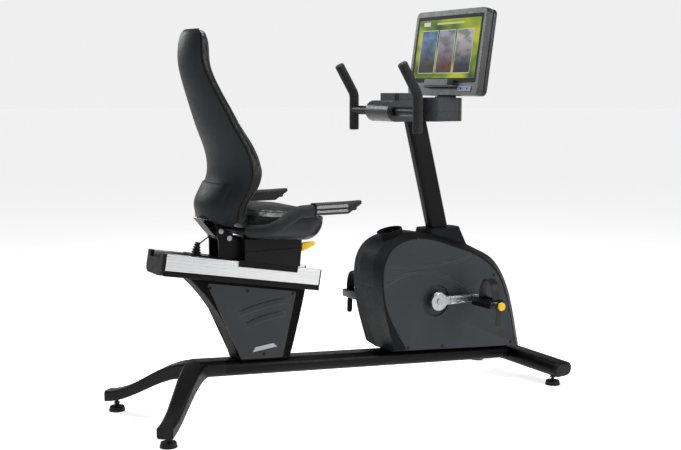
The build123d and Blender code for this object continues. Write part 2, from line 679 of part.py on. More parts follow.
# ---------------------------------------- seat handles: tube, foam sleeves, sensor grips
HANDLE_OUT = 281       # the handles' distance from the middle
HANDLE_BEND = 60
SLEEVE_R = 21
SLEEVE_END = along(-637)
GRIP_END = along(-505)
GRIP_TIP = along(-450)
HANDLE_FRONT = (along(-470), HANDLE_OUT, 763)
HANDLE_KNEE = (along(-690), HANDLE_OUT, 757)
HANDLE_LOW = (along(-800), HANDLE_OUT, 697)
HANDLE_CROSS = (HANDLE_X, 150, HANDLE_Z)


def mirrored(point):
    return (point[0], -point[1], point[2])


def round_bar(points, bend, radius):
    """A round bar through points, with bends of one radius."""
    with BuildPart() as bar:
        with BuildLine() as path:
            FilletPolyline(*points, radius=bend)
        with BuildSketch(Plane(origin=path.line @ 0, z_dir=path.line % 0)):
            Circle(radius)
        sweep(path=path.wire())
    return bar.part


handle_left = [HANDLE_FRONT, HANDLE_KNEE, HANDLE_LOW, HANDLE_CROSS]
handle_tube = round_bar([mirrored(point) for point in handle_left] + handle_left[::-1], HANDLE_BEND, HANDLE_R)
with BuildPart() as seat_handle:
    add(handle_tube)
save(seat_handle, "seat_handle")

low = Vector(*HANDLE_LOW)
cross = Vector(*HANDLE_CROSS)
foam_start = tuple(cross + (low - cross) * 0.3)
foam_end = (SLEEVE_END - 1, HANDLE_OUT, HANDLE_FRONT[2] - 4.5)
foam_path = [foam_start, HANDLE_LOW, HANDLE_KNEE, foam_end]
foam_bar = round_bar(foam_path, HANDLE_BEND, SLEEVE_R)
with BuildPart() as handle_sleeves:
    add(foam_bar)
    mirror(about=Plane.XZ)
    add(handle_tube, mode=Mode.SUBTRACT)
save(handle_sleeves, "handle_sleeves")

GRIP_SIZE = (40, 42)
GRIP_MID_Z = 762
STRIP = 1.5            # thickness of the metal pulse strips
STRIP_X = (along(-633), along(-510))
STRIP_ROWS = ((754, 8), (770, 10))
with BuildPart() as sensor_grips:
    for side in (RIGHT, LEFT):
        with BuildSketch(Plane(origin=(SLEEVE_END + GAP, side * HANDLE_OUT, GRIP_MID_Z), x_dir=(0, 1, 0),
                               z_dir=(1, 0, 0))):
            RectangleRounded(*GRIP_SIZE, 8)
        extrude(amount=GRIP_END - SLEEVE_END - GAP)
        with BuildSketch(Plane(origin=(GRIP_END, side * HANDLE_OUT, GRIP_MID_Z), x_dir=(0, 1, 0),
                               z_dir=(1, 0, 0))):
            RectangleRounded(*GRIP_SIZE, 8)
        with BuildSketch(Plane(origin=(GRIP_TIP, side * HANDLE_OUT, 778), x_dir=(0, 1, 0), z_dir=(1, 0, 0))):
            RectangleRounded(22, 14, 6)
        loft()
        for height, tall in STRIP_ROWS:
            with Locations(((STRIP_X[0] + STRIP_X[1]) / 2, side * (HANDLE_OUT + GRIP_SIZE[0] / 2), height)):
                Box(STRIP_X[1] - STRIP_X[0], 2 * STRIP, tall, mode=Mode.SUBTRACT)
    add(handle_tube, mode=Mode.SUBTRACT)
save(sensor_grips, "sensor_grips")

with BuildPart() as sensor_plates:
    for side in (RIGHT, LEFT):
        for height, tall in STRIP_ROWS:
            strip_y = side * (HANDLE_OUT + (GRIP_SIZE[0] - STRIP) / 2 + 0.5)
            with Locations(((STRIP_X[0] + STRIP_X[1]) / 2, strip_y, height)):
                Box(STRIP_X[1] - STRIP_X[0], STRIP + 1, tall)
save(sensor_plates, "sensor_plates")

# ---------------------------------------- pulse cable and its ribbed boot on the carriage tail
CABLE_R = 2.5
CABLE_Y = -20
BOOT_BASE = (37, 44)
BOOT_RIBS = 5
BOOT_RIB_PITCH = 8.5
boot_foot = (along(-962), CABLE_Y, plate_top(along(-962)) + 0.1)
boot_plane = Plane(origin=boot_foot, x_dir=rail_dir, z_dir=rail_up)
cable_top = Vector(along(-905), CABLE_Y, 662)
cable_low = Vector(along(-962), CABLE_Y, 624)

with BuildPart() as sensor_cable:
    with BuildSketch(Plane(origin=cable_low, z_dir=cable_top - cable_low)):
        Circle(CABLE_R)
    extrude(amount=(cable_top - cable_low).length)
save(sensor_cable, "sensor_cable")

with BuildPart() as cable_boot:
    with BuildSketch(boot_plane):
        RectangleRounded(16, 20, 5)
    extrude(amount=BOOT_RIBS * BOOT_RIB_PITCH)
    for rib in range(BOOT_RIBS):
        shrink = 1 - rib * 0.14
        with BuildSketch(boot_plane.offset(rib * BOOT_RIB_PITCH)):
            RectangleRounded(BOOT_BASE[0] * shrink, BOOT_BASE[1] * shrink, 6)
        extrude(amount=BOOT_RIB_PITCH - 2)
    add(sensor_cable.part, mode=Mode.SUBTRACT)
save(cable_boot, "cable_boot")

# ---------------------------------------- drive: frame plates, bearings, flywheel, belt
FLYWHEEL_X = along(235)
FLYWHEEL_Z = 285
FLYWHEEL_R = 105
FLYWHEEL_HALF = 20
FLYWHEEL_AXLE_R = 10
AXLE_END = 118
CRANK_AXLE_R = 12.45
BEARING_BORE = CRANK_AXLE_R + RUN
BEARING_R = 26
PLATE_IN = 22.6
DRIVE_PLATE = 6
PULLEY_R = 110
SMALL_PULLEY_R = 25
PULLEY_Y = (36, 54)
BELT_WIDTH = 14
BELT_THICK = 3
crank_spot = (CRANK_X, CRANK_Z)
flywheel_spot = (FLYWHEEL_X, FLYWHEEL_Z)
frame_plate = [(-60, 360), (60, 540), (170, 540), (200, 400), (330, 300)]

with BuildPart() as drive_frame:
    for side in (RIGHT, LEFT):
        with BuildSketch(Plane.XZ.offset(-side * PLATE_IN)):
            with BuildLine():
                Polyline((along(-90), beam_top(along(-90)) + 0.1), *[(along(x), z) for x, z in frame_plate],
                         (along(300), beam_top(along(300)) + 0.1), close=True)
            make_face()
            with Locations(crank_spot):
                Circle(BEARING_R, mode=Mode.SUBTRACT)
            with Locations(flywheel_spot):
                Circle(FLYWHEEL_AXLE_R + RUN, mode=Mode.SUBTRACT)
        extrude(amount=-side * DRIVE_PLATE)
    for tie_x in (-70, 280):
        with Locations((along(tie_x), 0, beam_top(along(tie_x)) + 12)):
            Box(16, 2 * PLATE_IN, 14)
save(drive_frame, "drive_frame")


def disc(spot, radius, near, far):
    """A round bar across the machine, from Y near to Y far."""
    with BuildPart() as bar:
        with BuildSketch(Plane.XZ.offset(-near)):
            with Locations(spot):
                Circle(radius)
        extrude(amount=near - far)
    return bar.part


with BuildPart() as bearings:
    for side in (RIGHT, LEFT):
        add(disc(crank_spot, BEARING_R, side * 18, side * 32))
    add(disc(crank_spot, BEARING_BORE, -40, 40), mode=Mode.SUBTRACT)
save(bearings, "bearings")

with BuildPart() as flywheel:
    add(disc(flywheel_spot, FLYWHEEL_R, -FLYWHEEL_HALF, FLYWHEEL_HALF))
    for side in (RIGHT, LEFT):
        add(disc(flywheel_spot, FLYWHEEL_R - 22, side * 12, side * 30), mode=Mode.SUBTRACT)
        add(disc(flywheel_spot, 24, side * 12, side * FLYWHEEL_HALF))
    add(disc(flywheel_spot, FLYWHEEL_AXLE_R, -(PLATE_IN + DRIVE_PLATE), PULLEY_Y[1]))
    add(disc(flywheel_spot, SMALL_PULLEY_R, *PULLEY_Y))
save(flywheel, "flywheel")

with BuildPart() as crank_axle:
    add(disc(crank_spot, CRANK_AXLE_R, -AXLE_END, AXLE_END))
    for side in (RIGHT, LEFT):
        add(disc(crank_spot, 6, side * (AXLE_END - 25), side * (AXLE_END + 1)), mode=Mode.SUBTRACT)
save(crank_axle, "crank_axle")

with BuildPart() as drive_pulley:
    add(disc(crank_spot, PULLEY_R, *PULLEY_Y))
    with BuildSketch(Plane.XZ.offset(-PULLEY_Y[0])):
        with Locations(crank_spot):
            with PolarLocations(66, 6):
                Circle(22)
    extrude(amount=PULLEY_Y[0] - PULLEY_Y[1], mode=Mode.SUBTRACT)
    add(disc(crank_spot, CRANK_AXLE_R, *PULLEY_Y), mode=Mode.SUBTRACT)
save(drive_pulley, "drive_pulley")


def belt_loop(lift):
    """The face inside a belt that runs at lift above both pulleys."""
    with BuildSketch(Plane.XZ.offset(-(PULLEY_Y[0] + PULLEY_Y[1] + BELT_WIDTH) / 2)) as loop:
        with Locations(crank_spot):
            Circle(PULLEY_R + lift)
        with Locations(flywheel_spot):
            Circle(SMALL_PULLEY_R + lift)
        make_hull()
    return loop.sketch


belt_outside = belt_loop(0.3 + BELT_THICK)
belt_inside = belt_loop(0.3)
with BuildPart() as drive_belt:
    extrude(belt_outside, amount=BELT_WIDTH)
    extrude(belt_inside, amount=BELT_WIDTH, mode=Mode.SUBTRACT)
save(drive_belt, "drive_belt")

# ---------------------------------------- crank arms, their bolts and the pedals
HUB_R = 37
HUB_Y = (113, 127)
ARM_Y = (117, 131)
ARM_END_R = 17
SPINDLE_R = 7
SPINDLE_END = 262
PEDAL_Y = (148, 268)
PEDAL_THICK = 30
STRAP_ROOTS = (176, 260)
STRAP_MID = 222
STRAP_FOOT = 8         # above the pedal axle
STRAP_TOP = 86
STRAP_WIDTH = 36
STRAP_THICK = 2.4
KNOB_R = 17
CRANK_BOLT_R = 6

for word, side, reach in (("right", RIGHT, CRANK_LENGTH), ("left", LEFT, -CRANK_LENGTH)):
    pedal_spot = (CRANK_X + reach, CRANK_Z)
    hub_disc = disc(crank_spot, HUB_R, side * HUB_Y[0], side * HUB_Y[1])
    end_disc = disc(pedal_spot, ARM_END_R, side * ARM_Y[0], side * ARM_Y[1])
    spindle = disc(pedal_spot, SPINDLE_R, side * ARM_Y[0], side * SPINDLE_END)
    axle_bore = disc(crank_spot, CRANK_AXLE_R, side * (HUB_Y[0] - 1), side * AXLE_END)
    bolt_bore = disc(crank_spot, CRANK_BOLT_R, side * HUB_Y[0], side * (ARM_Y[1] + 1))
    head_room = disc(crank_spot, 16, side * HUB_Y[1], side * (ARM_Y[1] + 1))
    with BuildPart() as crank_arm:
        with BuildSketch(Plane.XZ.offset(-side * ARM_Y[0])):
            with BuildLine():
                Polyline((CRANK_X, CRANK_Z + 17), (CRANK_X + reach, CRANK_Z + 14), (CRANK_X + reach, CRANK_Z - 14),
                         (CRANK_X, CRANK_Z - 17), close=True)
            make_face()
        extrude(amount=-side * (ARM_Y[1] - ARM_Y[0]))
        add(hub_disc)
        add(end_disc)
        add(head_room, mode=Mode.SUBTRACT)
        add(axle_bore, mode=Mode.SUBTRACT)
        add(bolt_bore, mode=Mode.SUBTRACT)
        add(spindle)
    save(crank_arm, f"crank_arm_{word}")

    knob = disc((pedal_spot[0] + 16, CRANK_Z - 14), KNOB_R, side * PEDAL_Y[1], side * (PEDAL_Y[1] + 12))
    with BuildPart() as pedal:
        with BuildSketch(Plane.XZ.offset(-side * PEDAL_Y[0])):
            with Locations((pedal_spot[0], CRANK_Z - 7)):
                RectangleRounded(68, PEDAL_THICK, 8)
            with Locations(pedal_spot):
                Circle(SPINDLE_R + RUN, mode=Mode.SUBTRACT)
        extrude(amount=-side * (PEDAL_Y[1] - PEDAL_Y[0]))
        for window_x in (-21, 21):
            with Locations((pedal_spot[0] + window_x, side * sum(STRAP_ROOTS) / 2, CRANK_Z)):
                Box(12, 56, 100, mode=Mode.SUBTRACT)
        for root_y in STRAP_ROOTS:
            with Locations((pedal_spot[0], side * root_y, CRANK_Z + STRAP_FOOT + 3.5)):
                Box(44, 8, 8)
            with Locations((pedal_spot[0], side * root_y, CRANK_Z + STRAP_FOOT + 10)):
                Box(38, STRAP_THICK + 1, 20, mode=Mode.SUBTRACT)
        with BuildSketch(Plane.YZ.offset(pedal_spot[0] - STRAP_WIDTH / 2)):
            with BuildLine():
                ThreePointArc((side * STRAP_ROOTS[0], CRANK_Z + STRAP_FOOT), (side * STRAP_MID, CRANK_Z + STRAP_TOP),
                              (side * STRAP_ROOTS[1], CRANK_Z + STRAP_FOOT))
            trace(line_width=STRAP_THICK)
        extrude(amount=STRAP_WIDTH)
        add(knob)
        with Locations((pedal_spot[0] + 6, side * (PEDAL_Y[1] + 2), CRANK_Z - 54)):
            Box(24, 3, 80)
    save(pedal, f"pedal_{word}")

with BuildPart() as crank_bolts:
    for side in (RIGHT, LEFT):
        add(disc(crank_spot, 13, side * HUB_Y[1], side * (HUB_Y[1] + 7)))
        add(disc(crank_spot, CRANK_BOLT_R - RUN, side * (AXLE_END - 22), side * HUB_Y[1]))
save(crank_bolts, "crank_bolts")

# ---------------------------------------- mast
MAST_LEAN = 14.2       # degrees, backwards
MAST_X = along(71)     # middle of the mast where it leaves the shroud
MAST_Z = 629
MAST_FOOT_Z = 440
MAST_TOP_Z = 1100
MAST_SIZE = (83, 45)
mast_dir = Vector(-sin(radians(MAST_LEAN)), 0, cos(radians(MAST_LEAN)))


def mast_x(z):
    """X of the mast's middle at height z."""
    return MAST_X - (z - MAST_Z) * tan(radians(MAST_LEAN))


mast_plane = Plane(origin=(mast_x(MAST_FOOT_Z), 0, MAST_FOOT_Z), x_dir=(mast_dir.Z, 0, -mast_dir.X), z_dir=mast_dir)
MAST_LENGTH = (MAST_TOP_Z - MAST_FOOT_Z) / mast_dir.Z
with BuildPart() as mast:
    with BuildSketch(mast_plane):
        RectangleRounded(*MAST_SIZE, 14)
        RectangleRounded(MAST_SIZE[0] - 2 * WALL, MAST_SIZE[1] - 2 * WALL, 11, mode=Mode.SUBTRACT)
    extrude(amount=MAST_LENGTH)
save(mast, "mast")

# ---------------------------------------- shroud: spine band and two side panels
SHROUD_HALF = 105
CROWN_HALF = 50        # the band is flat across this much, each side of the middle
hoop_line = [(-190, 184), (-232, 330), (-246, 459), (-238, 520), (-205, 572), (-119, 608), (86, 568), (207, 520),
             (295, 448), (336, 370), (396, 142)]
spine_outline = [(-172, 165), (-226, 318), (-250, 446), (-252, 490), (-236, 550), (-200, 588), (-110, 622), (0, 612),
                 (100, 590), (170, 565), (222, 540), (298, 500), (350, 442), (388, 368), (451, 120)]
panel_line = [(-134, 178), (-189, 270), (-225, 350), (-240, 459), (-233, 515), (-203, 566), (-118, 602), (85, 561),
              (204, 514), (289, 444), (330, 370), (390, 142)]


def drawn_in(points, distance):
    """The same outline moved towards its inside."""
    moved = []
    for number, (x, z) in enumerate(points):
        before = points[max(number - 1, 0)]
        after = points[min(number + 1, len(points) - 1)]
        run, rise = after[0] - before[0], after[1] - before[1]
        length = hypot(run, rise)
        moved.append((along(x + distance * rise / length), z - distance * run / length))
    return moved


def outline_face(points, half, drop=1):
    """The closed side view through points, at Y = -half, with its straight foot a little below them."""
    rear, front = points[0], points[-1]
    with BuildSketch(Plane.XZ.offset(half)) as side_view:
        with BuildLine():
            Spline(*points)
            Polyline(front, (front[0], front[1] - drop), (rear[0], rear[1] - drop), rear)
        make_face()
    return side_view.sketch


def shroud_body(skin):
    """The whole shroud as a solid, drawn in by the skin's thickness."""
    hoop_face = outline_face(drawn_in(hoop_line, skin), SHROUD_HALF - skin)
    crown_face = outline_face(drawn_in(spine_outline, skin), CROWN_HALF)
    with BuildPart() as body:
        loft(sections=[hoop_face, crown_face])
        extrude(crown_face, amount=-CROWN_HALF)
        mirror(about=Plane.XZ)
    return body.part


shroud_outside = shroud_body(0)
shroud_inside = shroud_body(WALL)
panel_face = outline_face(drawn_in(panel_line, 0), SHROUD_HALF)
panel_hole = outline_face(drawn_in(panel_line, -2 * GAP), SHROUD_HALF + 1, drop=8)
with BuildPart() as panel_openings:
    extrude(panel_hole, amount=-(WALL + 1))
    mirror(about=Plane.XZ)

CUP_TILT = 14
CUP_R = 49.5
CUP_BORE = 42
CUP_DEPTH = 92
cup_plane = Plane(origin=(along(-150), 0, 632), x_dir=(cos(radians(CUP_TILT)), 0, sin(radians(CUP_TILT))),
                  z_dir=(-sin(radians(CUP_TILT)), 0, cos(radians(CUP_TILT))))
COLLAR_TOP = 630
with BuildPart() as shroud_spine:
    add(shroud_outside)
    with BuildSketch(Plane.XY.offset(560)):
        with Locations((along(86), 0)):
            RectangleRounded(206, 128, 40)
    with BuildSketch(Plane.XY.offset(COLLAR_TOP)):
        with Locations((along(76), 0)):
            RectangleRounded(168, 92, 30)
    loft()
    with BuildSketch(Plane.XZ):
        with BuildLine():
            Polyline((along(-400), beam_top(along(-400)) + 0.5), (along(600), beam_top(along(600)) + 0.5),
                     (along(600), 0), (along(-400), 0), close=True)
        make_face()
    extrude(amount=200, both=True, mode=Mode.SUBTRACT)
    add(shroud_inside, mode=Mode.SUBTRACT)
    add(panel_openings.part, mode=Mode.SUBTRACT)
    with BuildSketch(cup_plane):
        Circle(CUP_R)
    extrude(amount=-CUP_DEPTH - WALL)
    with BuildSketch(cup_plane):
        Circle(CUP_BORE)
    extrude(amount=-CUP_DEPTH, mode=Mode.SUBTRACT)
    with BuildSketch(mast_plane):
        RectangleRounded(MAST_SIZE[0] + 1, MAST_SIZE[1] + 1, 14.5)
    extrude(amount=MAST_LENGTH, mode=Mode.SUBTRACT)
save(shroud_spine, "shroud_spine")

DISH_R = 62
DISH_DEPTH = 8
AXLE_HOLE_R = 16
for word, side in (("right", RIGHT), ("left", LEFT)):
    dish = disc(crank_spot, DISH_R + WALL, side * (SHROUD_HALF - DISH_DEPTH - WALL), side * (SHROUD_HALF - 1))
    dish_hollow = disc(crank_spot, DISH_R, side * (SHROUD_HALF - DISH_DEPTH), side * (SHROUD_HALF + 1))
    axle_hole = disc(crank_spot, AXLE_HOLE_R, side * 60, side * (SHROUD_HALF + 1))
    with BuildPart() as panel:
        extrude(panel_face, amount=-WALL)
        if side == LEFT:
            mirror(about=Plane.XZ, mode=Mode.REPLACE)
        add(dish)
        add(dish_hollow, mode=Mode.SUBTRACT)
        add(axle_hole, mode=Mode.SUBTRACT)
    save(panel, f"shroud_{word}")

# ---------------------------------------- console housing on top of the mast
DRUM = (along(-50), along(115), 125)       # rear, front and half width of the wide part
NOSE = (along(-212), along(-20), 78)
DRUM_Z = (1048, 1137)
NOSE_Z = (1048, 1127)
HOOD = (along(-160), along(-60), 62)
HOOD_TOP = 1155
SPLIT_Z = 1085
CONSOLE_SKIN = 3
BAR_X = along(-174)    # handlebar axis
BAR_Z = 1088
BAR_R = 17


def housing(skin):
    """The console housing as a solid, drawn in by the skin's thickness."""
    with BuildPart() as body:
        with BuildSketch(Plane.XY.offset(DRUM_Z[0] + skin)):
            with Locations(((DRUM[0] + DRUM[1]) / 2, 0)):
                RectangleRounded(DRUM[1] - DRUM[0] - 2 * skin, 2 * (DRUM[2] - skin), 40 - skin)
        extrude(amount=DRUM_Z[1] - DRUM_Z[0] - 2 * skin)
        with BuildSketch(Plane.XZ):
            with Locations(((NOSE[0] + NOSE[1]) / 2, sum(NOSE_Z) / 2)):
                SlotOverall(NOSE[1] - NOSE[0] - 2 * skin, NOSE_Z[1] - NOSE_Z[0] - 2 * skin)
        extrude(amount=NOSE[2] - skin, both=True)
        with BuildSketch(Plane.XY.offset(NOSE_Z[1] - 20)):
            with Locations(((HOOD[0] + HOOD[1]) / 2, 0)):
                RectangleRounded(HOOD[1] - HOOD[0] - 2 * skin, 2 * (HOOD[2] - skin), 14)
        extrude(amount=HOOD_TOP - NOSE_Z[1] + 20 - skin)
    return body.part


housing_outside = housing(0)
housing_inside = housing(CONSOLE_SKIN)
for word, low, high in (("lower", DRUM_Z[0] - 1, SPLIT_Z), ("upper", SPLIT_Z + GAP, HOOD_TOP + 1)):
    with BuildPart() as console_half:
        add(housing_outside)
        add(housing_inside, mode=Mode.SUBTRACT)
        with Locations((CRANK_X, 0, (low + high) / 2)):
            Box(800, 400, high - low, mode=Mode.INTERSECT)
        with Locations(Location((BAR_X, 0, BAR_Z), (90, 0, 0))):
            Cylinder(BAR_R + RUN, 2 * NOSE[2] + 10, mode=Mode.SUBTRACT)
        if word == "lower":
            with BuildSketch(mast_plane):
                RectangleRounded(MAST_SIZE[0] + 0.6, MAST_SIZE[1] + 0.6, 14)
            extrude(amount=MAST_LENGTH + 1, mode=Mode.SUBTRACT)
    save(console_half, f"console_base_{word}")

# ---------------------------------------- handlebar with upright ends, and its foam grips
BAR_OUT = 226
GRIP_R = 18.5
UPRIGHT_R = 15
UPRIGHT_LOW = 1014
UPRIGHT_KNEE = 1150
GRIP_TOP = (along(-241), 1260)
upright_line = [(BAR_X, UPRIGHT_LOW), (BAR_X, UPRIGHT_KNEE), GRIP_TOP]
rise = Vector(GRIP_TOP[0] - BAR_X, 0, GRIP_TOP[1] - UPRIGHT_KNEE).normalized()
bar_bone = round_bar([(x, BAR_OUT, z) for x, z in upright_line], 50, UPRIGHT_R)
grip_bar = round_bar(
    [(BAR_X, BAR_OUT, UPRIGHT_LOW - 4), (BAR_X, BAR_OUT, UPRIGHT_KNEE),
     (GRIP_TOP[0] + 4 * rise.X, BAR_OUT, GRIP_TOP[1] + 4 * rise.Z)], 50, GRIP_R)
with BuildPart() as handlebar:
    add(disc((BAR_X, BAR_Z), BAR_R, -BAR_OUT, BAR_OUT))
    add(bar_bone)
    add(bar_bone.mirror(Plane.XZ))
save(handlebar, "handlebar")

with BuildPart() as handlebar_grips:
    add(grip_bar)
    add(grip_bar.mirror(Plane.XZ))
    add(handlebar.part, mode=Mode.SUBTRACT)
save(handlebar_grips, "handlebar_grips")

# ---------------------------------------- screen: frame, rear cover, glass, shelf, sockets
SCREEN_LEAN = 8.4      # degrees, backwards
SCREEN_SIZE = (466, 332)
FRAME_DEPTH = 28
BACK_DEPTH = 25
GLASS_SIZE = (436, 262)
GLASS_LIFT = 13.7      # the glass sits this far above the middle of the frame
GLASS_THICK = 2.5
screen_out = Vector(-cos(radians(SCREEN_LEAN)), 0, sin(radians(SCREEN_LEAN)))
screen_plane = Plane(origin=(along(106), 0, 1311), x_dir=(0, -1, 0), z_dir=screen_out)

with BuildPart() as monitor_frame:
    with BuildSketch(screen_plane):
        RectangleRounded(*SCREEN_SIZE, 24)
    extrude(amount=-FRAME_DEPTH)
    with BuildSketch(screen_plane):
        with Locations((0, GLASS_LIFT)):
            RectangleRounded(GLASS_SIZE[0] + 0.4, GLASS_SIZE[1] + 0.4, 8)
    extrude(amount=-GLASS_THICK - 0.2, mode=Mode.SUBTRACT)
    with BuildSketch(screen_plane.offset(-GLASS_THICK - WALL)):
        RectangleRounded(SCREEN_SIZE[0] - 2 * WALL, SCREEN_SIZE[1] - 2 * WALL, 21)
    extrude(amount=-FRAME_DEPTH, mode=Mode.SUBTRACT)
save(monitor_frame, "monitor_frame")

with BuildPart() as screen_glass:
    with BuildSketch(screen_plane.offset(-GLASS_THICK - 0.2)):
        with Locations((0, GLASS_LIFT)):
            RectangleRounded(*GLASS_SIZE, 8)
    extrude(amount=GLASS_THICK)
save(screen_glass, "screen_glass")

with BuildPart() as monitor_back:
    with BuildSketch(screen_plane.offset(-FRAME_DEPTH - 0.1)):
        RectangleRounded(SCREEN_SIZE[0] - 4, SCREEN_SIZE[1] - 4, 22)
    extrude(amount=-BACK_DEPTH)
    fillet(monitor_back.faces().sort_by(Axis.X)[-1].edges(), radius=8)
    with BuildSketch(screen_plane.offset(-FRAME_DEPTH)):
        RectangleRounded(SCREEN_SIZE[0] - 4 - 2 * WALL, SCREEN_SIZE[1] - 4 - 2 * WALL, 19)
    extrude(amount=-BACK_DEPTH + WALL, mode=Mode.SUBTRACT)
    with BuildSketch(Plane.XZ):
        with BuildLine():
            Polyline((along(98), DRUM_Z[1] + 0.1), (along(114), DRUM_Z[1] + 0.1), (along(121), 1160),
                     (along(113.5), 1160), (along(111), 1142), (along(98), 1141), close=True)
        make_face()
    extrude(amount=60, both=True)
save(monitor_back, "monitor_back")

SHELF_LOW = -134       # below the middle of the frame, along the screen
with BuildPart() as tablet_shelf:
    with BuildSketch(screen_plane.offset(0.1)):
        with Locations((0, SHELF_LOW)):
            Rectangle(220, 6)
    extrude(amount=25)
    with BuildSketch(screen_plane.offset(0.1)):
        with Locations((0, SHELF_LOW + 14)):
            Rectangle(156, 24)
    extrude(amount=30)
    with BuildSketch(screen_plane.offset(8)):
        with Locations((0, SHELF_LOW + 18)):
            Rectangle(150, 20)
    extrude(amount=17, mode=Mode.SUBTRACT)
save(tablet_shelf, "tablet_shelf")

SOCKET_PLACE = (154, -140.5)
with BuildPart() as socket_panel:
    with BuildSketch(screen_plane.offset(0.1)):
        with Locations(SOCKET_PLACE):
            RectangleRounded(84, 20, 4)
            with GridLocations(40, 0, 2, 1):
                Circle(4.5, mode=Mode.SUBTRACT)
    extrude(amount=3)
save(socket_panel, "socket_panel")

# ---------------------------------------- cover screws
SCREW_R = 6
SCREW_HEAD = 1.5
pedestal_screws = [(-924, 479), (-781, 457), (-597, 432), (-716, 221)]
shroud_screws = [(-128, 186), (30, 176), (276, 436), (364, 155)]
with BuildPart() as cover_screws:
    for places, face in ((pedestal_screws, PEDESTAL_HALF + COVER_THICK), (shroud_screws, SHROUD_HALF)):
        for x, z in places:
            for side in (RIGHT, LEFT):
                add(disc((along(x), z), SCREW_R, side * face, side * (face + SCREW_HEAD)))
save(cover_screws, "cover_screws")
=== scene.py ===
"""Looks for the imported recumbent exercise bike: finishes, cushions, foam, straps and the lit screen.

Metres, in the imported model's frame: +X forward, +Y to the rider's left, +Z up, floor at Z = 0.
"""
import json
from math import cos, pi, radians, sin, sqrt, tan

import bmesh
import bpy
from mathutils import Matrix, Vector
from mathutils.bvhtree import BVHTree


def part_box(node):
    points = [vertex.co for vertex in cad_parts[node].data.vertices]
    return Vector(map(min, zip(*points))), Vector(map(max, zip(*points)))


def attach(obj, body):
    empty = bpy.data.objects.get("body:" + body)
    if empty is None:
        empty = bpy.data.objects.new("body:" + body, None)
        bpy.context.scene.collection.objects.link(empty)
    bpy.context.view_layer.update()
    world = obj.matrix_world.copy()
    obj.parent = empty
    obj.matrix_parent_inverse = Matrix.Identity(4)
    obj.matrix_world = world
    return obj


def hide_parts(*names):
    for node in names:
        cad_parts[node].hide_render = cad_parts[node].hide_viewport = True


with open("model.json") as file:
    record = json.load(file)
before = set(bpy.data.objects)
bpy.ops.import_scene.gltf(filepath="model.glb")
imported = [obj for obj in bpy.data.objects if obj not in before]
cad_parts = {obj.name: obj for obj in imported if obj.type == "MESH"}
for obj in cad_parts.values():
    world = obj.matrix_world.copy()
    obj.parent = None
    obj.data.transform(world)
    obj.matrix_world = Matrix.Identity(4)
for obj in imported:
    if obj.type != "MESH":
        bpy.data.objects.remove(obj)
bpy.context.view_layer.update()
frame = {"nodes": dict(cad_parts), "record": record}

nodes = frame["nodes"]
joints = {joint["name"]: joint for joint in frame["record"]["behaviour"]["joints"]}
crank = Vector(joints["crank_spin"]["pos_m"])
RIGHT, LEFT = -1, 1
SIDES = (("right", RIGHT), ("left", LEFT))
X_AXIS, Y_AXIS, Z_AXIS = Vector((1, 0, 0)), Vector((0, 1, 0)), Vector((0, 0, 1))


def along(x):
    """X of a place that lies x ahead of the crank axle."""
    return crank.x + x


# ------------------------------------------------ materials
def coordinates(tree, stretch=(1, 1, 1)):
    """Object coordinates, which are the frame's own metres."""
    place = tree.nodes.new("ShaderNodeTexCoord")
    mapping = tree.nodes.new("ShaderNodeMapping")
    mapping.inputs["Scale"].default_value = stretch
    tree.links.new(place.outputs["Object"], mapping.inputs["Vector"])
    return mapping.outputs["Vector"]


def noise(tree, vector, scale, detail):
    """Soft noise with so many patches to the metre."""
    node = tree.nodes.new("ShaderNodeTexNoise")
    node.inputs["Scale"].default_value = scale
    node.inputs["Detail"].default_value = detail
    tree.links.new(vector, node.inputs["Vector"])
    return node.outputs["Fac"]


def remap(tree, value, low, high, start=0.3, stop=0.7):
    """value between start and stop becomes a number between low and high."""
    node = tree.nodes.new("ShaderNodeMapRange")
    for name, number in (("From Min", start), ("From Max", stop), ("To Min", low), ("To Max", high)):
        node.inputs[name].default_value = number
    tree.links.new(value, node.inputs["Value"])
    return node.outputs["Result"]


def blend_colour(tree, factor, first, second):
    """first where factor is 0, second where it is 1. Each is a colour or an output."""
    node = tree.nodes.new("ShaderNodeMix")
    node.data_type = "RGBA"
    tree.links.new(factor, node.inputs["Factor"])
    for name, colour in (("A", first), ("B", second)):
        socket = [s for s in node.inputs if s.name == name and s.type == "RGBA"][0]
        if isinstance(colour, tuple):
            socket.default_value = (*colour, 1)
        else:
            tree.links.new(colour, socket)
    return [s for s in node.outputs if s.type == "RGBA"][0]


def bump(tree, shader, height, depth):
    """Relief of depth metres."""
    node = tree.nodes.new("ShaderNodeBump")
    node.inputs["Distance"].default_value = depth
    node.inputs["Strength"].default_value = 1
    tree.links.new(height, node.inputs["Height"])
    tree.links.new(node.outputs["Normal"], shader.inputs["Normal"])


def edge_wear(tree, colour, worn, amount):
    """Rubbed edges: the colour turns to worn where the surface bends sharply outwards."""
    geometry = tree.nodes.new("ShaderNodeNewGeometry")
    sharp = remap(tree, geometry.outputs["Pointiness"], 0, amount, 0.53, 0.62)
    return blend_colour(tree, sharp, colour, worn)


def scaled(colour, factor):
    """A lighter or darker colour."""
    return tuple(min(1, channel * factor) for channel in colour)


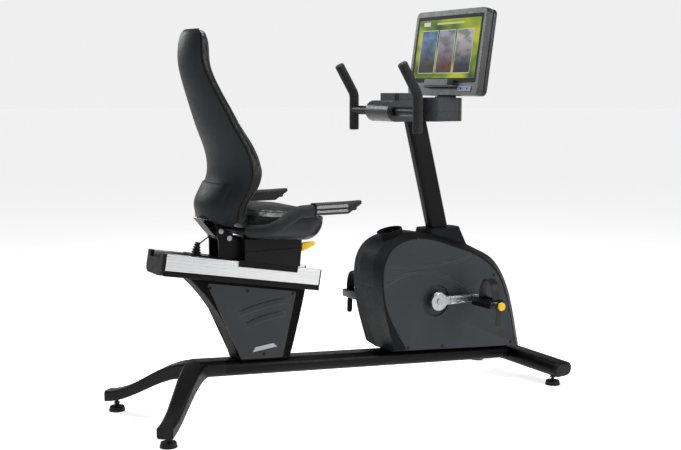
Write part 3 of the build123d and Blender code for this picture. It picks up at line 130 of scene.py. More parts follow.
def finish(name, colour, roughness, metallic=0.0, specular=0.22, coat=0.0, worn=None, stretch=(1, 1, 1),
           mottle=0.12, mottle_scale=7, gloss_swing=0.06, grain_scale=1200, grain_depth=0.00004, cells=False):
    """A moulded, painted or metal surface with grain, faint mottling and uneven gloss.

    Grain is fine noise grain_depth metres deep, or rounded cells. worn is the colour of rubbed edges.
    """
    material = bpy.data.materials.new(name)
    material.use_nodes = True
    tree = material.node_tree
    shader = tree.nodes["Principled BSDF"]
    shader.inputs["Metallic"].default_value = metallic
    shader.inputs["Specular IOR Level"].default_value = specular
    shader.inputs["Coat Weight"].default_value = coat
    vector = coordinates(tree, stretch)
    patches = noise(tree, vector, mottle_scale, 4)
    darker, lighter = scaled(colour, 1 - mottle), scaled(colour, 1 + mottle)
    base = blend_colour(tree, remap(tree, patches, 0, 1), darker, lighter)
    if worn:
        base = edge_wear(tree, base, worn, 0.5)
    tree.links.new(base, shader.inputs["Base Color"])
    gloss = noise(tree, vector, mottle_scale * 9, 3)
    uneven = remap(tree, gloss, roughness - gloss_swing, roughness + gloss_swing)
    tree.links.new(uneven, shader.inputs["Roughness"])
    if cells:
        pores = tree.nodes.new("ShaderNodeTexVoronoi")
        pores.feature = "SMOOTH_F1"
        pores.inputs["Scale"].default_value = grain_scale
        tree.links.new(vector, pores.inputs["Vector"])
        bump(tree, shader, pores.outputs["Distance"], grain_depth)
    else:
        bump(tree, shader, noise(tree, vector, grain_scale, 2), grain_depth)
    return material


DISPLAY = (0.4098, 0.2304)       # width and height of the lit picture
DISPLAY_LIFT = 0.002             # how far its middle is above the middle of the glass
SCREEN_LEAN = radians(8.4)
# the rest is in parts of the display's width and height
CARD_UP = 0.45
CARD_HALF = (0.128, 0.36)
CARD_BORDER = (0.005, 0.01)
# where each card's middle lies, then its colour at the top and at the foot
CARDS = (
    (0.20, (0.16, 0.30, 0.52), (0.05, 0.045, 0.03)),
    (0.49, (0.42, 0.44, 0.55), (0.14, 0.05, 0.045)),
    (0.78, (0.62, 0.60, 0.58), (0.03, 0.035, 0.06)),
)


def display_picture(tree, across, up):
    """A soft green backdrop with three plain cards, as a colour output. across and up run from 0 to 1."""
    join = tree.nodes.new("ShaderNodeCombineXYZ")
    tree.links.new(across, join.inputs[0])
    tree.links.new(up, join.inputs[1])
    blobs = tree.nodes.new("ShaderNodeTexVoronoi")
    blobs.feature = "SMOOTH_F1"
    blobs.inputs["Scale"].default_value = 5.5
    tree.links.new(join.outputs[0], blobs.inputs["Vector"])
    glow = remap(tree, blobs.outputs["Distance"], 1, 0, 0.1, 0.75)
    backdrop = blend_colour(tree, glow, (0.015, 0.07, 0.002), (0.34, 0.52, 0.004))
    warm = remap(tree, noise(tree, join.outputs[0], 2.2, 1), 0, 1, 0.45, 0.62)
    backdrop = blend_colour(tree, warm, backdrop, (0.62, 0.68, 0.02))
    picture = backdrop
    for middle, top, foot in CARDS:
        inside = rectangle(tree, across, up, (middle, CARD_UP), CARD_HALF)
        outer_half = (CARD_HALF[0] + CARD_BORDER[0], CARD_HALF[1] + CARD_BORDER[1])
        bordered = rectangle(tree, across, up, (middle, CARD_UP), outer_half)
        card = blend_colour(tree, remap(tree, up, 0, 1, 0.22, 0.66), foot, top)
        patch = remap(tree, noise(tree, join.outputs[0], 7, 2), 0, 1, 0.45, 0.62)
        card = blend_colour(tree, multiply(tree, patch, 0.55), card, scaled(foot, 0.5))
        picture = blend_colour(tree, bordered, picture, (0.85, 0.88, 0.80))
        picture = blend_colour(tree, inside, picture, card)
    tab = rectangle(tree, across, up, (0.13, 0.93), (0.055, 0.035))
    bar = rectangle(tree, across, up, (0.52, 0.93), (0.22, 0.016))
    picture = blend_colour(tree, tab, picture, (0.9, 0.9, 0.88))
    return blend_colour(tree, bar, picture, (0.72, 0.85, 0.35))


def multiply(tree, first, second):
    """The product of two outputs, or of an output and a number."""
    node = tree.nodes.new("ShaderNodeMath")
    node.operation = "MULTIPLY"
    for place, value in enumerate((first, second)):
        if isinstance(value, (int, float)):
            node.inputs[place].default_value = value
        else:
            tree.links.new(value, node.inputs[place])
    return node.outputs[0]


def near(tree, value, middle, half):
    """1 where value is within half of middle, else 0."""
    node = tree.nodes.new("ShaderNodeMath")
    node.operation = "COMPARE"
    node.inputs[1].default_value = middle
    node.inputs[2].default_value = half
    tree.links.new(value, node.inputs[0])
    return node.outputs[0]


def rectangle(tree, across, up, middle, half):
    """1 inside a rectangle of the display, else 0."""
    return multiply(tree, near(tree, across, middle[0], half[0]), near(tree, up, middle[1], half[1]))


def display_material():
    """Glass over a lit picture; outside the picture the glass is black."""
    material = bpy.data.materials.new("display")
    material.use_nodes = True
    tree = material.node_tree
    shader = tree.nodes["Principled BSDF"]
    low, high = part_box("screen_glass")
    split = tree.nodes.new("ShaderNodeSeparateXYZ")
    tree.links.new(coordinates(tree), split.inputs[0])
    across = remap(tree, split.outputs[1], 0, 1, DISPLAY[0] / 2, -DISPLAY[0] / 2)
    across.node.clamp = False
    middle = (low.z + high.z) / 2 + DISPLAY_LIFT
    half_up = DISPLAY[1] / 2 * cos(SCREEN_LEAN)
    up = remap(tree, split.outputs[2], 0, 1, middle - half_up, middle + half_up)
    up.node.clamp = False
    picture = display_picture(tree, across, up)
    lit = rectangle(tree, across, up, (0.5, 0.5), (0.5, 0.5))
    shown = blend_colour(tree, lit, (0.0, 0.0, 0.0), picture)
    shader.inputs["Base Color"].default_value = (0.004, 0.004, 0.005, 1)
    shader.inputs["Roughness"].default_value = 0.22
    shader.inputs["Specular IOR Level"].default_value = 0.02
    tree.links.new(shown, shader.inputs["Emission Color"])
    shader.inputs["Emission Strength"].default_value = 0.62
    return material


CHARCOAL = (0.019, 0.023, 0.026)
WORN = (0.08, 0.09, 0.10)
BLACK_PAINT = (0.0025, 0.0025, 0.0027)
looks = {
    "shell": finish("moulded_shell", CHARCOAL, 0.44, worn=WORN, grain_scale=1500, grain_depth=0.00003),
    "backrest": finish("moulded_backrest", (0.016, 0.0200, 0.0230), 0.48, specular=0.09,
                       grain_scale=1500, grain_depth=0.00003),
    # painted shade: the shroud's rounded back is the same moulded plastic as the shell, but its colour is
    # painted far darker than CHARCOAL and its gloss cut, so that the band facing rear-left stays dark under
    # the horizon and the key lamp
    "spine_painted_shade": finish("moulded_spine_painted_shade", (0.0055, 0.0067, 0.0078), 0.50, specular=0.06,
                    grain_scale=1500, grain_depth=0.00003),
    "seat": finish("moulded_seat", (0.008, 0.009, 0.010), 0.32, specular=0.2,
                   mottle=0.2, mottle_scale=40, grain_scale=900),
    "paint": finish("satin_paint", BLACK_PAINT, 0.36, specular=0.11, grain_scale=700, grain_depth=0.00002),
    "flange": finish("flange_paint", BLACK_PAINT, 0.55, specular=0.04, grain_scale=700, grain_depth=0.00002),
    "casting": finish("cast_paint", (0.006, 0.006, 0.0065), 0.44, specular=0.15,
                      mottle=0.25, grain_scale=420, grain_depth=0.0003),
    "trim": finish("matte_trim", (0.005, 0.005, 0.0055), 0.44, specular=0.12, grain_scale=1400),
    "console": finish("console_shell", (0.020, 0.0235, 0.027), 0.30,
                      mottle=0.15, grain_scale=1100, grain_depth=0.000005),
    "monitor": finish("monitor_shell", (0.024, 0.027, 0.031), 0.34, grain_scale=1300),
    "monitor_back": finish("monitor_rear", (0.007, 0.008, 0.009), 0.32, grain_scale=1300),
    "shelf": finish("shelf_plastic", (0.075, 0.075, 0.08), 0.45),
    "socket": finish("socket_plate", (0.15, 0.18, 0.21), 0.42),
    "rail": finish("anodised_rail", (0.54, 0.55, 0.56), 0.32, metallic=1.0, stretch=(0.03, 1, 1),
                   mottle=0.04, gloss_swing=0.05, grain_scale=700, grain_depth=0.0000008),
    "steel": finish("bright_steel", (0.28, 0.28, 0.30), 0.22, metallic=1.0,
                    mottle=0.05, grain_scale=800, grain_depth=0.000004),
    "crank": finish("cast_crank", (0.34, 0.355, 0.37), 0.30, metallic=0.95,
                    mottle=0.06, grain_scale=700, grain_depth=0.0000008),
    "iron": finish("flywheel_iron", (0.10, 0.10, 0.11), 0.4, metallic=0.8, grain_scale=600),
    "foam": finish("grip_foam", (0.011, 0.0115, 0.0125), 0.8, specular=0.3,
                   grain_scale=1600, grain_depth=0.00025, cells=True),
    "vinyl": finish("seat_vinyl", (0.006, 0.0065, 0.007), 0.38,
                    grain_scale=620, grain_depth=0.00022, cells=True),
    "piping": finish("vinyl_piping", (0.06, 0.063, 0.067), 0.4,
                     grain_scale=900, grain_depth=0.0001, cells=True),
    "rubber": finish("black_rubber", (0.007, 0.007, 0.007), 0.55, grain_scale=900, grain_depth=0.00008),
    "gloss": finish("gloss_black", (0.004, 0.004, 0.0045), 0.2, grain_scale=500, grain_depth=0.00001),
    "strap": finish("ribbed_strap", (0.009, 0.0095, 0.01), 0.42, stretch=(1, 0.15, 1),
                    grain_scale=500, grain_depth=0.0002),
    "yellow": finish("yellow_plastic", (0.62, 0.38, 0.005), 0.3, coat=0.2, mottle=0.05, grain_scale=900),
    "badge": finish("brushed_badge", (0.26, 0.27, 0.28), 0.3, metallic=0.8, stretch=(0.1, 1, 1),
                    mottle=0.05, grain_depth=0.000004),
    "grip": finish("sensor_grip", (0.008, 0.008, 0.0085), 0.36, grain_scale=1000),
    "display": display_material(),
}

node_looks = {
    "shell": ("shroud_right", "shroud_left", "pedestal_cover_right", "pedestal_cover_left"),
    # the shroud's rounded back gets the darker copy of the shell plastic, painted shade
    "spine_painted_shade": ("shroud_spine",),
    "backrest": ("backrest_shell",),
    "seat": ("seat_shell",),
    "paint": ("main_beam", "front_stabilizer", "rail_tray", "lock_rack", "drive_frame", "mast",
              "handlebar", "seat_handle", "carriage_frame", "backrest_bracket"),
    "flange": ("pedestal_frame",),
    "casting": ("rear_stabilizer",),
    "trim": ("rail_end_caps", "stabilizer_end_caps", "carriage_cover", "bracket_cover", "drive_pulley",
             "cover_screws"),
    "console": ("console_base_lower", "console_base_upper"),
    "monitor": ("monitor_frame",),
    "monitor_back": ("monitor_back",),
    "shelf": ("tablet_shelf",),
    "socket": ("socket_panel",),
    "rail": ("rail_right", "rail_left"),
    "steel": ("crank_axle", "bearings", "bracket_bolts", "crank_bolts", "sensor_plates"),
    "iron": ("flywheel",),
    "rubber": ("leveling_foot_rear_right", "leveling_foot_rear_left", "leveling_foot_front_right",
               "leveling_foot_front_left", "drive_belt", "roller_axle_front", "roller_axle_rear"),
    "badge": ("pedestal_badge",),
    "grip": ("sensor_grips",),
    "display": ("screen_glass",),
}
# how far a CAD node's edges are rounded, in metres
EDGE_RADIUS = 0.0008
edge_radius = {
    "console_base_lower": 0.006, "console_base_upper": 0.006, "monitor_frame": 0.004, "monitor_back": 0.003,
    "shroud_spine": 0.003, "shroud_right": 0.0012, "shroud_left": 0.0012, "seat_shell": 0.002,
    "backrest_shell": 0.002, "carriage_cover": 0.003,
    "front_stabilizer": 0.0015, "main_beam": 0.0015, "rail_end_caps": 0.002, "sensor_grips": 0.003,
    "tablet_shelf": 0.0015, "mast": 0.0005, "rear_stabilizer": 0.003,
}


def soften(name):
    """Rounds a CAD node's edges with modifiers and shades it smooth. Its own mesh stays as packed."""
    piece = nodes[name]
    for face in piece.data.polygons:
        face.use_smooth = True
    weld = piece.modifiers.new("weld", "WELD")
    weld.merge_threshold = 0.00001
    bevel = piece.modifiers.new("bevel", "BEVEL")
    bevel.width = edge_radius.get(name, EDGE_RADIUS)
    bevel.segments = 3
    bevel.limit_method = "ANGLE"
    bevel.angle_limit = radians(34)
    bevel.use_clamp_overlap = True
    shade = piece.modifiers.new("shade", "WEIGHTED_NORMAL")
    shade.keep_sharp = True


def paint(piece, look):
    """One finish over a whole piece."""
    piece.data.materials.clear()
    piece.data.materials.append(looks[look])


for look, names in node_looks.items():
    for name in names:
        paint(nodes[name], look)
        soften(name)


# ------------------------------------------------ building pieces
def add_piece(name, mesh, look, body, stands_for=()):
    """Puts a finished mesh into the scene as a piece of the object."""
    piece = bpy.data.objects.new(name, mesh)
    bpy.context.scene.collection.objects.link(piece)
    for face in mesh.polygons:
        face.use_smooth = True
    paint(piece, look)
    if stands_for:
        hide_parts(*stands_for)
    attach(piece, body)


def mesh_from(bm, name):
    """The finished mesh, with its faces turned outwards."""
    bmesh.ops.recalc_face_normals(bm, faces=bm.faces)
    mesh = bpy.data.meshes.new(name)
    bm.to_mesh(mesh)
    bm.free()
    return mesh


def skin(rings, bm=None):
    """A skin over rings of equal length, capped at both ends. It joins what bm already holds."""
    bm = bm or bmesh.new()
    rows = [[bm.verts.new(point) for point in ring] for ring in rings]
    count = len(rows[0])
    for first, second in zip(rows, rows[1:]):
        for place in range(count):
            after = (place + 1) % count
            bm.faces.new((first[place], first[after], second[after], second[place]))
    bm.faces.new(rows[0])
    bm.faces.new(rows[-1][::-1])
    return bm


def rounded_path(corners, radius, steps):
    """Straight runs joined by arcs of one radius, each of so many steps."""
    points = [corners[0]]
    for before, corner, after in zip(corners, corners[1:], corners[2:]):
        back = (before - corner).normalized()
        on = (after - corner).normalized()
        half_angle = back.angle(on) / 2
        reach = radius / tan(half_angle)
        middle = corner + (back + on).normalized() * radius / sin(half_angle)
        start = corner + back * reach - middle
        stop = corner + on * reach - middle
        for step in range(steps + 1):
            points.append(middle + start.lerp(stop, step / steps).normalized() * radius)
    points.append(corners[-1])
    return points


def stations(points):
    """Each point of a path with two directions across it that don't twist."""
    across = None
    for place, point in enumerate(points):
        ahead = points[min(place + 1, len(points) - 1)] - points[max(place - 1, 0)]
        ahead.normalize()
        if across is None:
            across = ahead.cross(Z_AXIS if abs(ahead.z) < 0.9 else X_AXIS).normalized()
        across = (across - ahead * across.dot(ahead)).normalized()
        yield point, across, ahead.cross(across), ahead


def tube(points, radius, cap, sides):
    """A round bar along points, each end rounded over cap metres."""
    angles = [2 * pi * side / sides for side in range(sides)]
    spots = list(stations(points))
    last = len(spots) - 1
    rings = []
    for place, (point, across, over, ahead) in enumerate(spots):
        stages = [(0, 0)]
        if place in (0, last):
            turns = [part * pi / 2 for part in (0, 0.25, 0.5, 0.75, 1)]
            stages = [(cap * (1 - cos(turn)), cap * (1 - sin(turn))) for turn in turns]
        if place == last:
            stages = [(-shift, sunk) for shift, sunk in reversed(stages)]
        for shift, sunk in stages:
            centre = point + ahead * shift
            size = radius - sunk
            rings.append([centre + across * size * cos(angle) + over * size * sin(angle) for angle in angles])
    return skin(rings)


BOX_RING_SIDES = 28


def box_ring(centre, across, over, half_across, half_over, power):
    """A ring between an oval, at power 2, and a rectangle, at a high power."""
    ring = []
    for side in range(BOX_RING_SIDES):
        angle = 2 * pi * side / BOX_RING_SIDES
        c, s = cos(angle), sin(angle)
        reach_c = abs(c) ** (2 / power) * (1 if c >= 0 else -1)
        reach_s = abs(s) ** (2 / power) * (1 if s >= 0 else -1)
        ring.append(centre + across * half_across * reach_c + over * half_over * reach_s)
    return ring


# ------------------------------------------------ foam sleeves on the seat handles
TUBE_R = 0.0125
SLEEVE_R = 0.021
SLEEVE_ROUNDING = 0.005
SLEEVE_BEND = 0.06
handle_low, handle_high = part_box("seat_handle")
handle_out = handle_high.y - TUBE_R
cross_bend = Vector((handle_low.x + TUBE_R, 0.150, handle_low.z + TUBE_R))
low_bend = Vector((along(-0.800), handle_out, 0.697))
knee = Vector((along(-0.690), handle_out, 0.757))
foam_start = cross_bend.lerp(low_bend, 0.3)
foam_end = Vector((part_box("sensor_grips")[0].x - 0.0005, handle_out, 0.7585))


def flip(point, side):
    """The same place on the bike's right or left."""
    return Vector((point.x, side * point.y, point.z))


for word, side in SIDES:
    corners = [flip(point, side) for point in (foam_start, low_bend, knee, foam_end)]
    path = rounded_path(corners, SLEEVE_BEND, 12)
    mesh = mesh_from(tube(path, SLEEVE_R, SLEEVE_ROUNDING, 32), "sleeve")
    add_piece(f"handle_sleeve_{word}", mesh, "foam", "carriage", ("handle_sleeves",))

# ------------------------------------------------ foam grips on the handlebar's upright ends
GRIP_R = 0.0185
GRIP_ROUNDING = 0.006
GRIP_BEND = 0.05
GRIP_PAST_BAR = 0.004      # the foam covers the end of the bar
grip_low, grip_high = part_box("handlebar_grips")
upright_out = grip_high.y - GRIP_R
upright_x = grip_high.x - GRIP_R
foot = Vector((upright_x, upright_out, grip_low.z))
bend = Vector((upright_x, upright_out, 1.150))
tip = Vector((along(-0.241), upright_out, 1.260))
grip_end = tip + (tip - bend).normalized() * GRIP_PAST_BAR
for word, side in SIDES:
    path = rounded_path([flip(point, side) for point in (foot, bend, grip_end)], GRIP_BEND, 14)
    mesh = mesh_from(tube(path, GRIP_R, GRIP_ROUNDING, 32), "grip")
    add_piece(f"handlebar_grip_{word}", mesh, "foam", "frame", ("handlebar_grips",))

# ------------------------------------------------ ribbed boot and pulse cable
RIBS = 5
STEPS_PER_RIB = 6
BOOT_HEIGHT = 0.0425
BOOT_FOOT_HALF = 0.0185
BOOT_TAPER = 0.010
RIB_DEPTH = 0.32           # how much of the boot's width lies in its ribs
RAIL_SLOPE = radians(9.6)
boot_low, boot_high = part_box("cable_boot")
boot_y = (boot_low.y + boot_high.y) / 2
boot_up = Vector((sin(RAIL_SLOPE), 0, cos(RAIL_SLOPE)))
boot_ahead = Vector((cos(RAIL_SLOPE), 0, -sin(RAIL_SLOPE)))
boot_foot = Vector((along(-0.962), boot_y, boot_low.z + 0.0035))
rings = []
for step in range(RIBS * STEPS_PER_RIB + 1):
    part = step / (RIBS * STEPS_PER_RIB)
    swell = 0.5 + 0.5 * cos(2 * pi * step / STEPS_PER_RIB)
    half = (BOOT_FOOT_HALF - BOOT_TAPER * part) * (1 - RIB_DEPTH + RIB_DEPTH * swell)
    rings.append(box_ring(boot_foot + boot_up * BOOT_HEIGHT * part, boot_ahead, Y_AXIS, half, half * 1.15, 3))
add_piece("cable_boot", mesh_from(skin(rings), "boot"), "rubber", "carriage", ("cable_boot",))

CABLE_D = 0.005
# how far ahead of the crank axle, and how high; from the boot up to the backrest bracket
cable_line = ((-0.962, 0.624), (-0.948, 0.6338), (-0.934, 0.6436), (-0.919, 0.6522), (-0.905, 0.662))
cable_route = [Vector((along(x), boot_y, z)) for x, z in cable_line]


def cable_piece(name, route, diameter, look, body, stands_for):
    """A round cable on one smooth curve drawn along a route."""
    curve = bpy.data.curves.new(name, "CURVE")
    curve.dimensions = "3D"
    curve.bevel_depth = diameter / 2
    curve.bevel_resolution = 5
    line = curve.splines.new("NURBS")
    line.points.add(len(route) - 1)
    for point, place in zip(line.points, route):
        point.co = (*place, 1)
    line.order_u = 4
    line.use_endpoint_u = True
    curve.materials.append(looks[look])
    piece = bpy.data.objects.new(name, curve)
    bpy.context.scene.collection.objects.link(piece)
    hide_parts(*stands_for)
    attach(piece, body)
    return piece


cable = cable_piece("pulse_cable", cable_route, CABLE_D, "rubber", "carriage",
                    ("sensor_cable",))

# ------------------------------------------------ seat release lever: black shaft, yellow paddle
SHAFT_R = 0.0078
PAWL_HALF = (0.005, 0.0058)
lever_low, lever_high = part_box("seat_lever")
pivot = Vector(joints["lever_pull"]["pos_m"])


def lever_ring(reach, rise, half_wide, half_tall, power):
    """A ring across the lever's arm, reach ahead of its pivot and rise above it."""
    return box_ring(pivot + Vector((reach, 0, rise)), Y_AXIS, Z_AXIS, half_wide, half_tall, power)


shaft_ends = [Vector((pivot.x, y, pivot.z)) for y in (lever_low.y + 0.002, 0, lever_high.y)]
shaft = tube(shaft_ends, SHAFT_R, 0.001, 24)
pawl_heights = (lever_low.z + 0.001, lever_low.z + 0.05, pivot.z)
skin([box_ring(Vector((pivot.x, 0, z)), X_AXIS, Y_AXIS, *PAWL_HALF, 8) for z in pawl_heights], shaft)
arm = ((0, 0, 0.0075), (0.02, 0.001, 0.008), (0.034, 0.002, 0.0085))
skin([lever_ring(reach, rise, 0.0055, half_tall, 6) for reach, rise, half_tall in arm], shaft)
add_piece("seat_lever_shaft", mesh_from(shaft, "shaft"), "gloss", "lever", ("seat_lever",))

# reach, rise, half the width and half the height
paddle = (
    (0.030, 0.0035, 0.0070, 0.0125), (0.033, 0.0045, 0.0078, 0.0145), (0.037, 0.0055, 0.0080, 0.0150),
    (0.050, 0.0085, 0.0080, 0.0140), (0.066, 0.0120, 0.0080, 0.0110), (0.078, 0.0150, 0.0078, 0.0080),
    (0.084, 0.0160, 0.0070, 0.0060), (0.0858, 0.0163, 0.0050, 0.0040),
)
paddle_mesh = mesh_from(skin([lever_ring(*spot, 4.5) for spot in paddle]), "paddle")
add_piece("seat_lever_paddle", paddle_mesh, "yellow", "lever", ("seat_lever",))

# ------------------------------------------------ crank arms: a disc hub flowing into a waisted arm
HUB_R = 0.037
CRANK_LENGTH = 0.170
ARM_END_R = 0.017
ARM_ROOT_HALF = 0.0172           # half height of the arm near the hub
ARM_TAPER = 0.0032
ARM_FLARE = 0.016                # extra half height where the arm leaves the hub
ARM_FACES = (0.1172, 0.1305)     # inner and outer face of the arm, from the bike's middle plane
HUB_BACK = 0.1135
HUB_BACK_REACH = 0.045
EDGE_DROP = 0.0045
PANEL_DEPTH = 0.0016
PANEL_HALF = 0.70                # part of the arm's half height that the sunk panel takes up
PANEL_REACH = (0.048, CRANK_LENGTH - 0.02)
ARM_STEPS = 90


def smoothstep(start, stop, value):
    """Runs smoothly from 0 at start to 1 at stop."""
    part = min(1, max(0, (value - start) / (stop - start)))
    return part * part * (3 - 2 * part)


def arm_half(reach):
    """Half height of the arm at a distance from the crank axle."""
    hub = sqrt(max(0, HUB_R ** 2 - reach ** 2))
    taper = ARM_ROOT_HALF - ARM_TAPER * smoothstep(0.04, CRANK_LENGTH, reach)
    flare = ARM_FLARE * (1 - smoothstep(0.020, 0.062, reach))
    end = sqrt(max(0, ARM_END_R ** 2 - max(0, reach - CRANK_LENGTH) ** 2))
    waist = min(taper + flare, end) if reach > 0 else 0
    return max(hub, waist, 0.0006)


def crank_arm(side, forward):
    """Domed edges, with a shallow panel sunk into the outer face beyond the hub."""
    rings = []
    for step in range(ARM_STEPS + 1):
        reach = -HUB_R + (CRANK_LENGTH + ARM_END_R + HUB_R) * (0.5 - 0.5 * cos(pi * step / ARM_STEPS))
        half = arm_half(reach)
        back = HUB_BACK if reach < HUB_BACK_REACH else ARM_FACES[0]
        x = crank.x + forward * reach
        ring = []
        for part in (-1, -0.97, -0.9, -0.8, -PANEL_HALF, -0.4, 0, 0.4, PANEL_HALF, 0.8, 0.9, 0.97, 1):
            drop = EDGE_DROP * smoothstep(0.86, 1.0, abs(part))
            on_panel = abs(part) <= PANEL_HALF and PANEL_REACH[0] < reach < PANEL_REACH[1]
            outer = ARM_FACES[1] - drop - (PANEL_DEPTH if on_panel else 0)
            ring.append(Vector((x, side * outer, crank.z + half * part)))
        ring += [Vector((x, side * back, crank.z + half * part)) for part in (0.98, 0.5, 0, -0.5, -0.98)]
        rings.append(ring)
    return skin(rings)


for word, side in SIDES:
    forward = 1 if joints[f"pedal_{word}_spin"]["pos_m"][0] > crank.x else -1
    mesh = mesh_from(crank_arm(side, forward), "arm")
    add_piece(f"crank_arm_{word}", mesh, "crank", "crank", (f"crank_arm_{word}",))

# ------------------------------------------------ raised creases on the shroud's side panels
# places along each line: how far ahead of the crank axle, and how high
creases = {
    "upper": [(-0.230, 0.514), (-0.160, 0.503), (-0.080, 0.498), (0.059, 0.501), (0.120, 0.514),
              (0.164, 0.532)],
    "lower": [(-0.238, 0.435), (-0.171, 0.465), (-0.080, 0.475), (0.013, 0.461), (0.098, 0.419),
              (0.157, 0.374), (0.231, 0.299), (0.300, 0.208)],
}
CREASE_SIZE = (0.013, 0.0016)      # width and height
LINE_STEPS = 8
FADE_STEPS = 5
SUNK = 0.0004                      # how far a lip's edges lie inside the panel


def smooth_line(points):
    """A curve through points (Catmull-Rom), as closely spaced points."""
    points = [Vector(point) for point in points]
    line = []
    for place in range(len(points) - 1):
        before = points[max(place - 1, 0)]
        start, stop = points[place], points[place + 1]
        after = points[min(place + 2, len(points) - 1)]
        for step in range(LINE_STEPS):
            t = step / LINE_STEPS
            bend_in = 2 * before - 5 * start + 4 * stop - after
            bend_out = 3 * start - before - 3 * stop + after
            line.append(0.5 * (2 * start + (stop - before) * t + bend_in * t ** 2 + bend_out * t ** 3))
    return line + [points[-1]]


def crease(line, side, face_y, width, height):
    """A lip on a side panel that rises slowly from below and falls steeply above, dying out at both ends.

    With a negative width it rises slowly from above instead.
    """
    rings = []
    points = smooth_line(line)
    last = len(points) - 1
    for place, point in enumerate(points):
        ahead = points[min(place + 1, last)] - points[max(place - 1, 0)]
        up = Vector((-ahead.y, ahead.x)).normalized()
        fade = min(1, place / FADE_STEPS, (last - place) / FADE_STEPS)
        crest = height * fade
        section = ((-width, -SUNK), (-width * 0.5, crest * 0.35), (0, crest),
                   (width * 0.12, crest * 0.9), (width * 0.3, -SUNK), (0, -3 * SUNK))
        ring = []
        for across, rise in section:
            spot = point + up * across
            ring.append(Vector((along(spot.x), face_y + side * rise, spot.y)))
        rings.append(ring)
    return skin(rings)


def outer_face(node, side):
    """Y of the outer face of a side panel."""
    low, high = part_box(node)
    return low.y if side == RIGHT else high.y


for word, side in SIDES:
    face_y = outer_face(f"shroud_{word}", side)
    for height, line in creases.items():
        mesh = mesh_from(crease(line, side, face_y, *CREASE_SIZE), "crease")
        add_piece(f"shroud_crease_{height}_{word}", mesh, "shell", "frame")

# ------------------------------------------------ raised wings on the pedestal's side panels
wings = (
    [(-0.815, 0.369), (-0.765, 0.382), (-0.713, 0.392), (-0.665, 0.398), (-0.612, 0.401)],
    [(-0.788, 0.324), (-0.745, 0.338), (-0.701, 0.347), (-0.665, 0.352), (-0.628, 0.355)],
)
WING_SIZE = (-0.022, 0.0026)       # width and height; it spreads to the other side of its line
for word, side in SIDES:
    face_y = outer_face(f"pedestal_cover_{word}", side)
    for number, line in enumerate(wings):
        mesh = mesh_from(crease(line, side, face_y, *WING_SIZE), "wing")
        add_piece(f"pedestal_wing_{number}_{word}", mesh, "shell", "frame")

# ------------------------------------------------ seam across the shroud's rounded back
def tree_of(node):
    """Finds where rays meet a CAD node."""
    piece = nodes[node]
    mesh = piece.data
    corners = [piece.matrix_world @ vertex.co for vertex in mesh.vertices]
    return BVHTree.FromPolygons(corners, [face.vertices[:] for face in mesh.polygons])


def behind(tree, y, z):
    """Where a surface is met from the rear at a place, or None."""
    return tree.ray_cast(Vector((-2, y, z)), X_AXIS)[0]


SEAM_Z = 0.427
SEAM_HALF = 0.1
SEAM_R = 0.0009
SEAM_SUNK = 0.0002
spine_tree = tree_of("shroud_spine")
seam = [behind(spine_tree, SEAM_HALF * (step / 15 - 1), SEAM_Z) for step in range(31)]
seam = [point + X_AXIS * SEAM_SUNK for point in seam if point]
seam_mesh = mesh_from(tube(seam, SEAM_R, 0.0002, 8), "seam")
add_piece("spine_seam", seam_mesh, "trim", "frame")

# ------------------------------------------------ raised lobe low on the backrest shell
LOBE_HALF = 0.118
LOBE_RISE = 0.008
LOBE_BACKING = 0.003       # how far the lobe reaches into the shell
LEDGE_Z = 0.848
LEDGE_DROP = 0.007
LOBE_LEVELS = 12
shell_tree = tree_of("backrest_shell")


def lobe_foot(x):
    """Height of the lobe's lower edge, just above the shell's own rim, which slopes."""
    return 0.752 - 0.4 * (x - along(-1.0))


rings = []
for level in range(LOBE_LEVELS + 1):
    on_ledge = level == LOBE_LEVELS
    outer = []
    inner = []
    for step in range(25):
        y = LOBE_HALF * (step / 12 - 1)
        base = behind(shell_tree, y, 0.76)
        foot_z = lobe_foot(base.x)
        crest_z = LEDGE_Z - LEDGE_DROP
        z = LEDGE_Z if on_ledge else foot_z + (crest_z - foot_z) * level / (LOBE_LEVELS - 1)
        spot = behind(shell_tree, y, z) or Vector((base.x, y, z))
        edge = 1 - smoothstep(0.80, 1.0, abs(y) / LOBE_HALF)
        rise = LOBE_RISE * edge * (-0.3 if on_ledge else 1)
        sunk = 0 if edge > 0.01 else 0.0005
        outer.append(Vector((spot.x - rise + sunk, y, z)))
        inner.append(Vector((spot.x + LOBE_BACKING, y, z)))
    rings.append(outer + inner[::-1])
add_piece("backrest_lobe", mesh_from(skin(rings), "lobe"), "backrest", "carriage")

# ------------------------------------------------ pedals: body, strap and knob
# heights are from the spindle's axis, distances sideways from the bike's middle plane
PEDAL_TOP, PEDAL_BOTTOM = 0.008, -0.022
PEDAL_NEAR, PEDAL_FAR = 0.148, 0.268
TREAD_OFFSET = 0.0275            # one tread lies this far ahead of the spindle, the other behind
TEETH = 7
STRAP_ROOTS = (0.176, 0.260)
STRAP_TOP = 0.086
STRAP_HALF = 0.0178
TAIL_HALF = 0.0118
TAIL_LENGTH = 0.080
BAND_HALF_THICK = 0.0012
KNOB_LOBES = 12


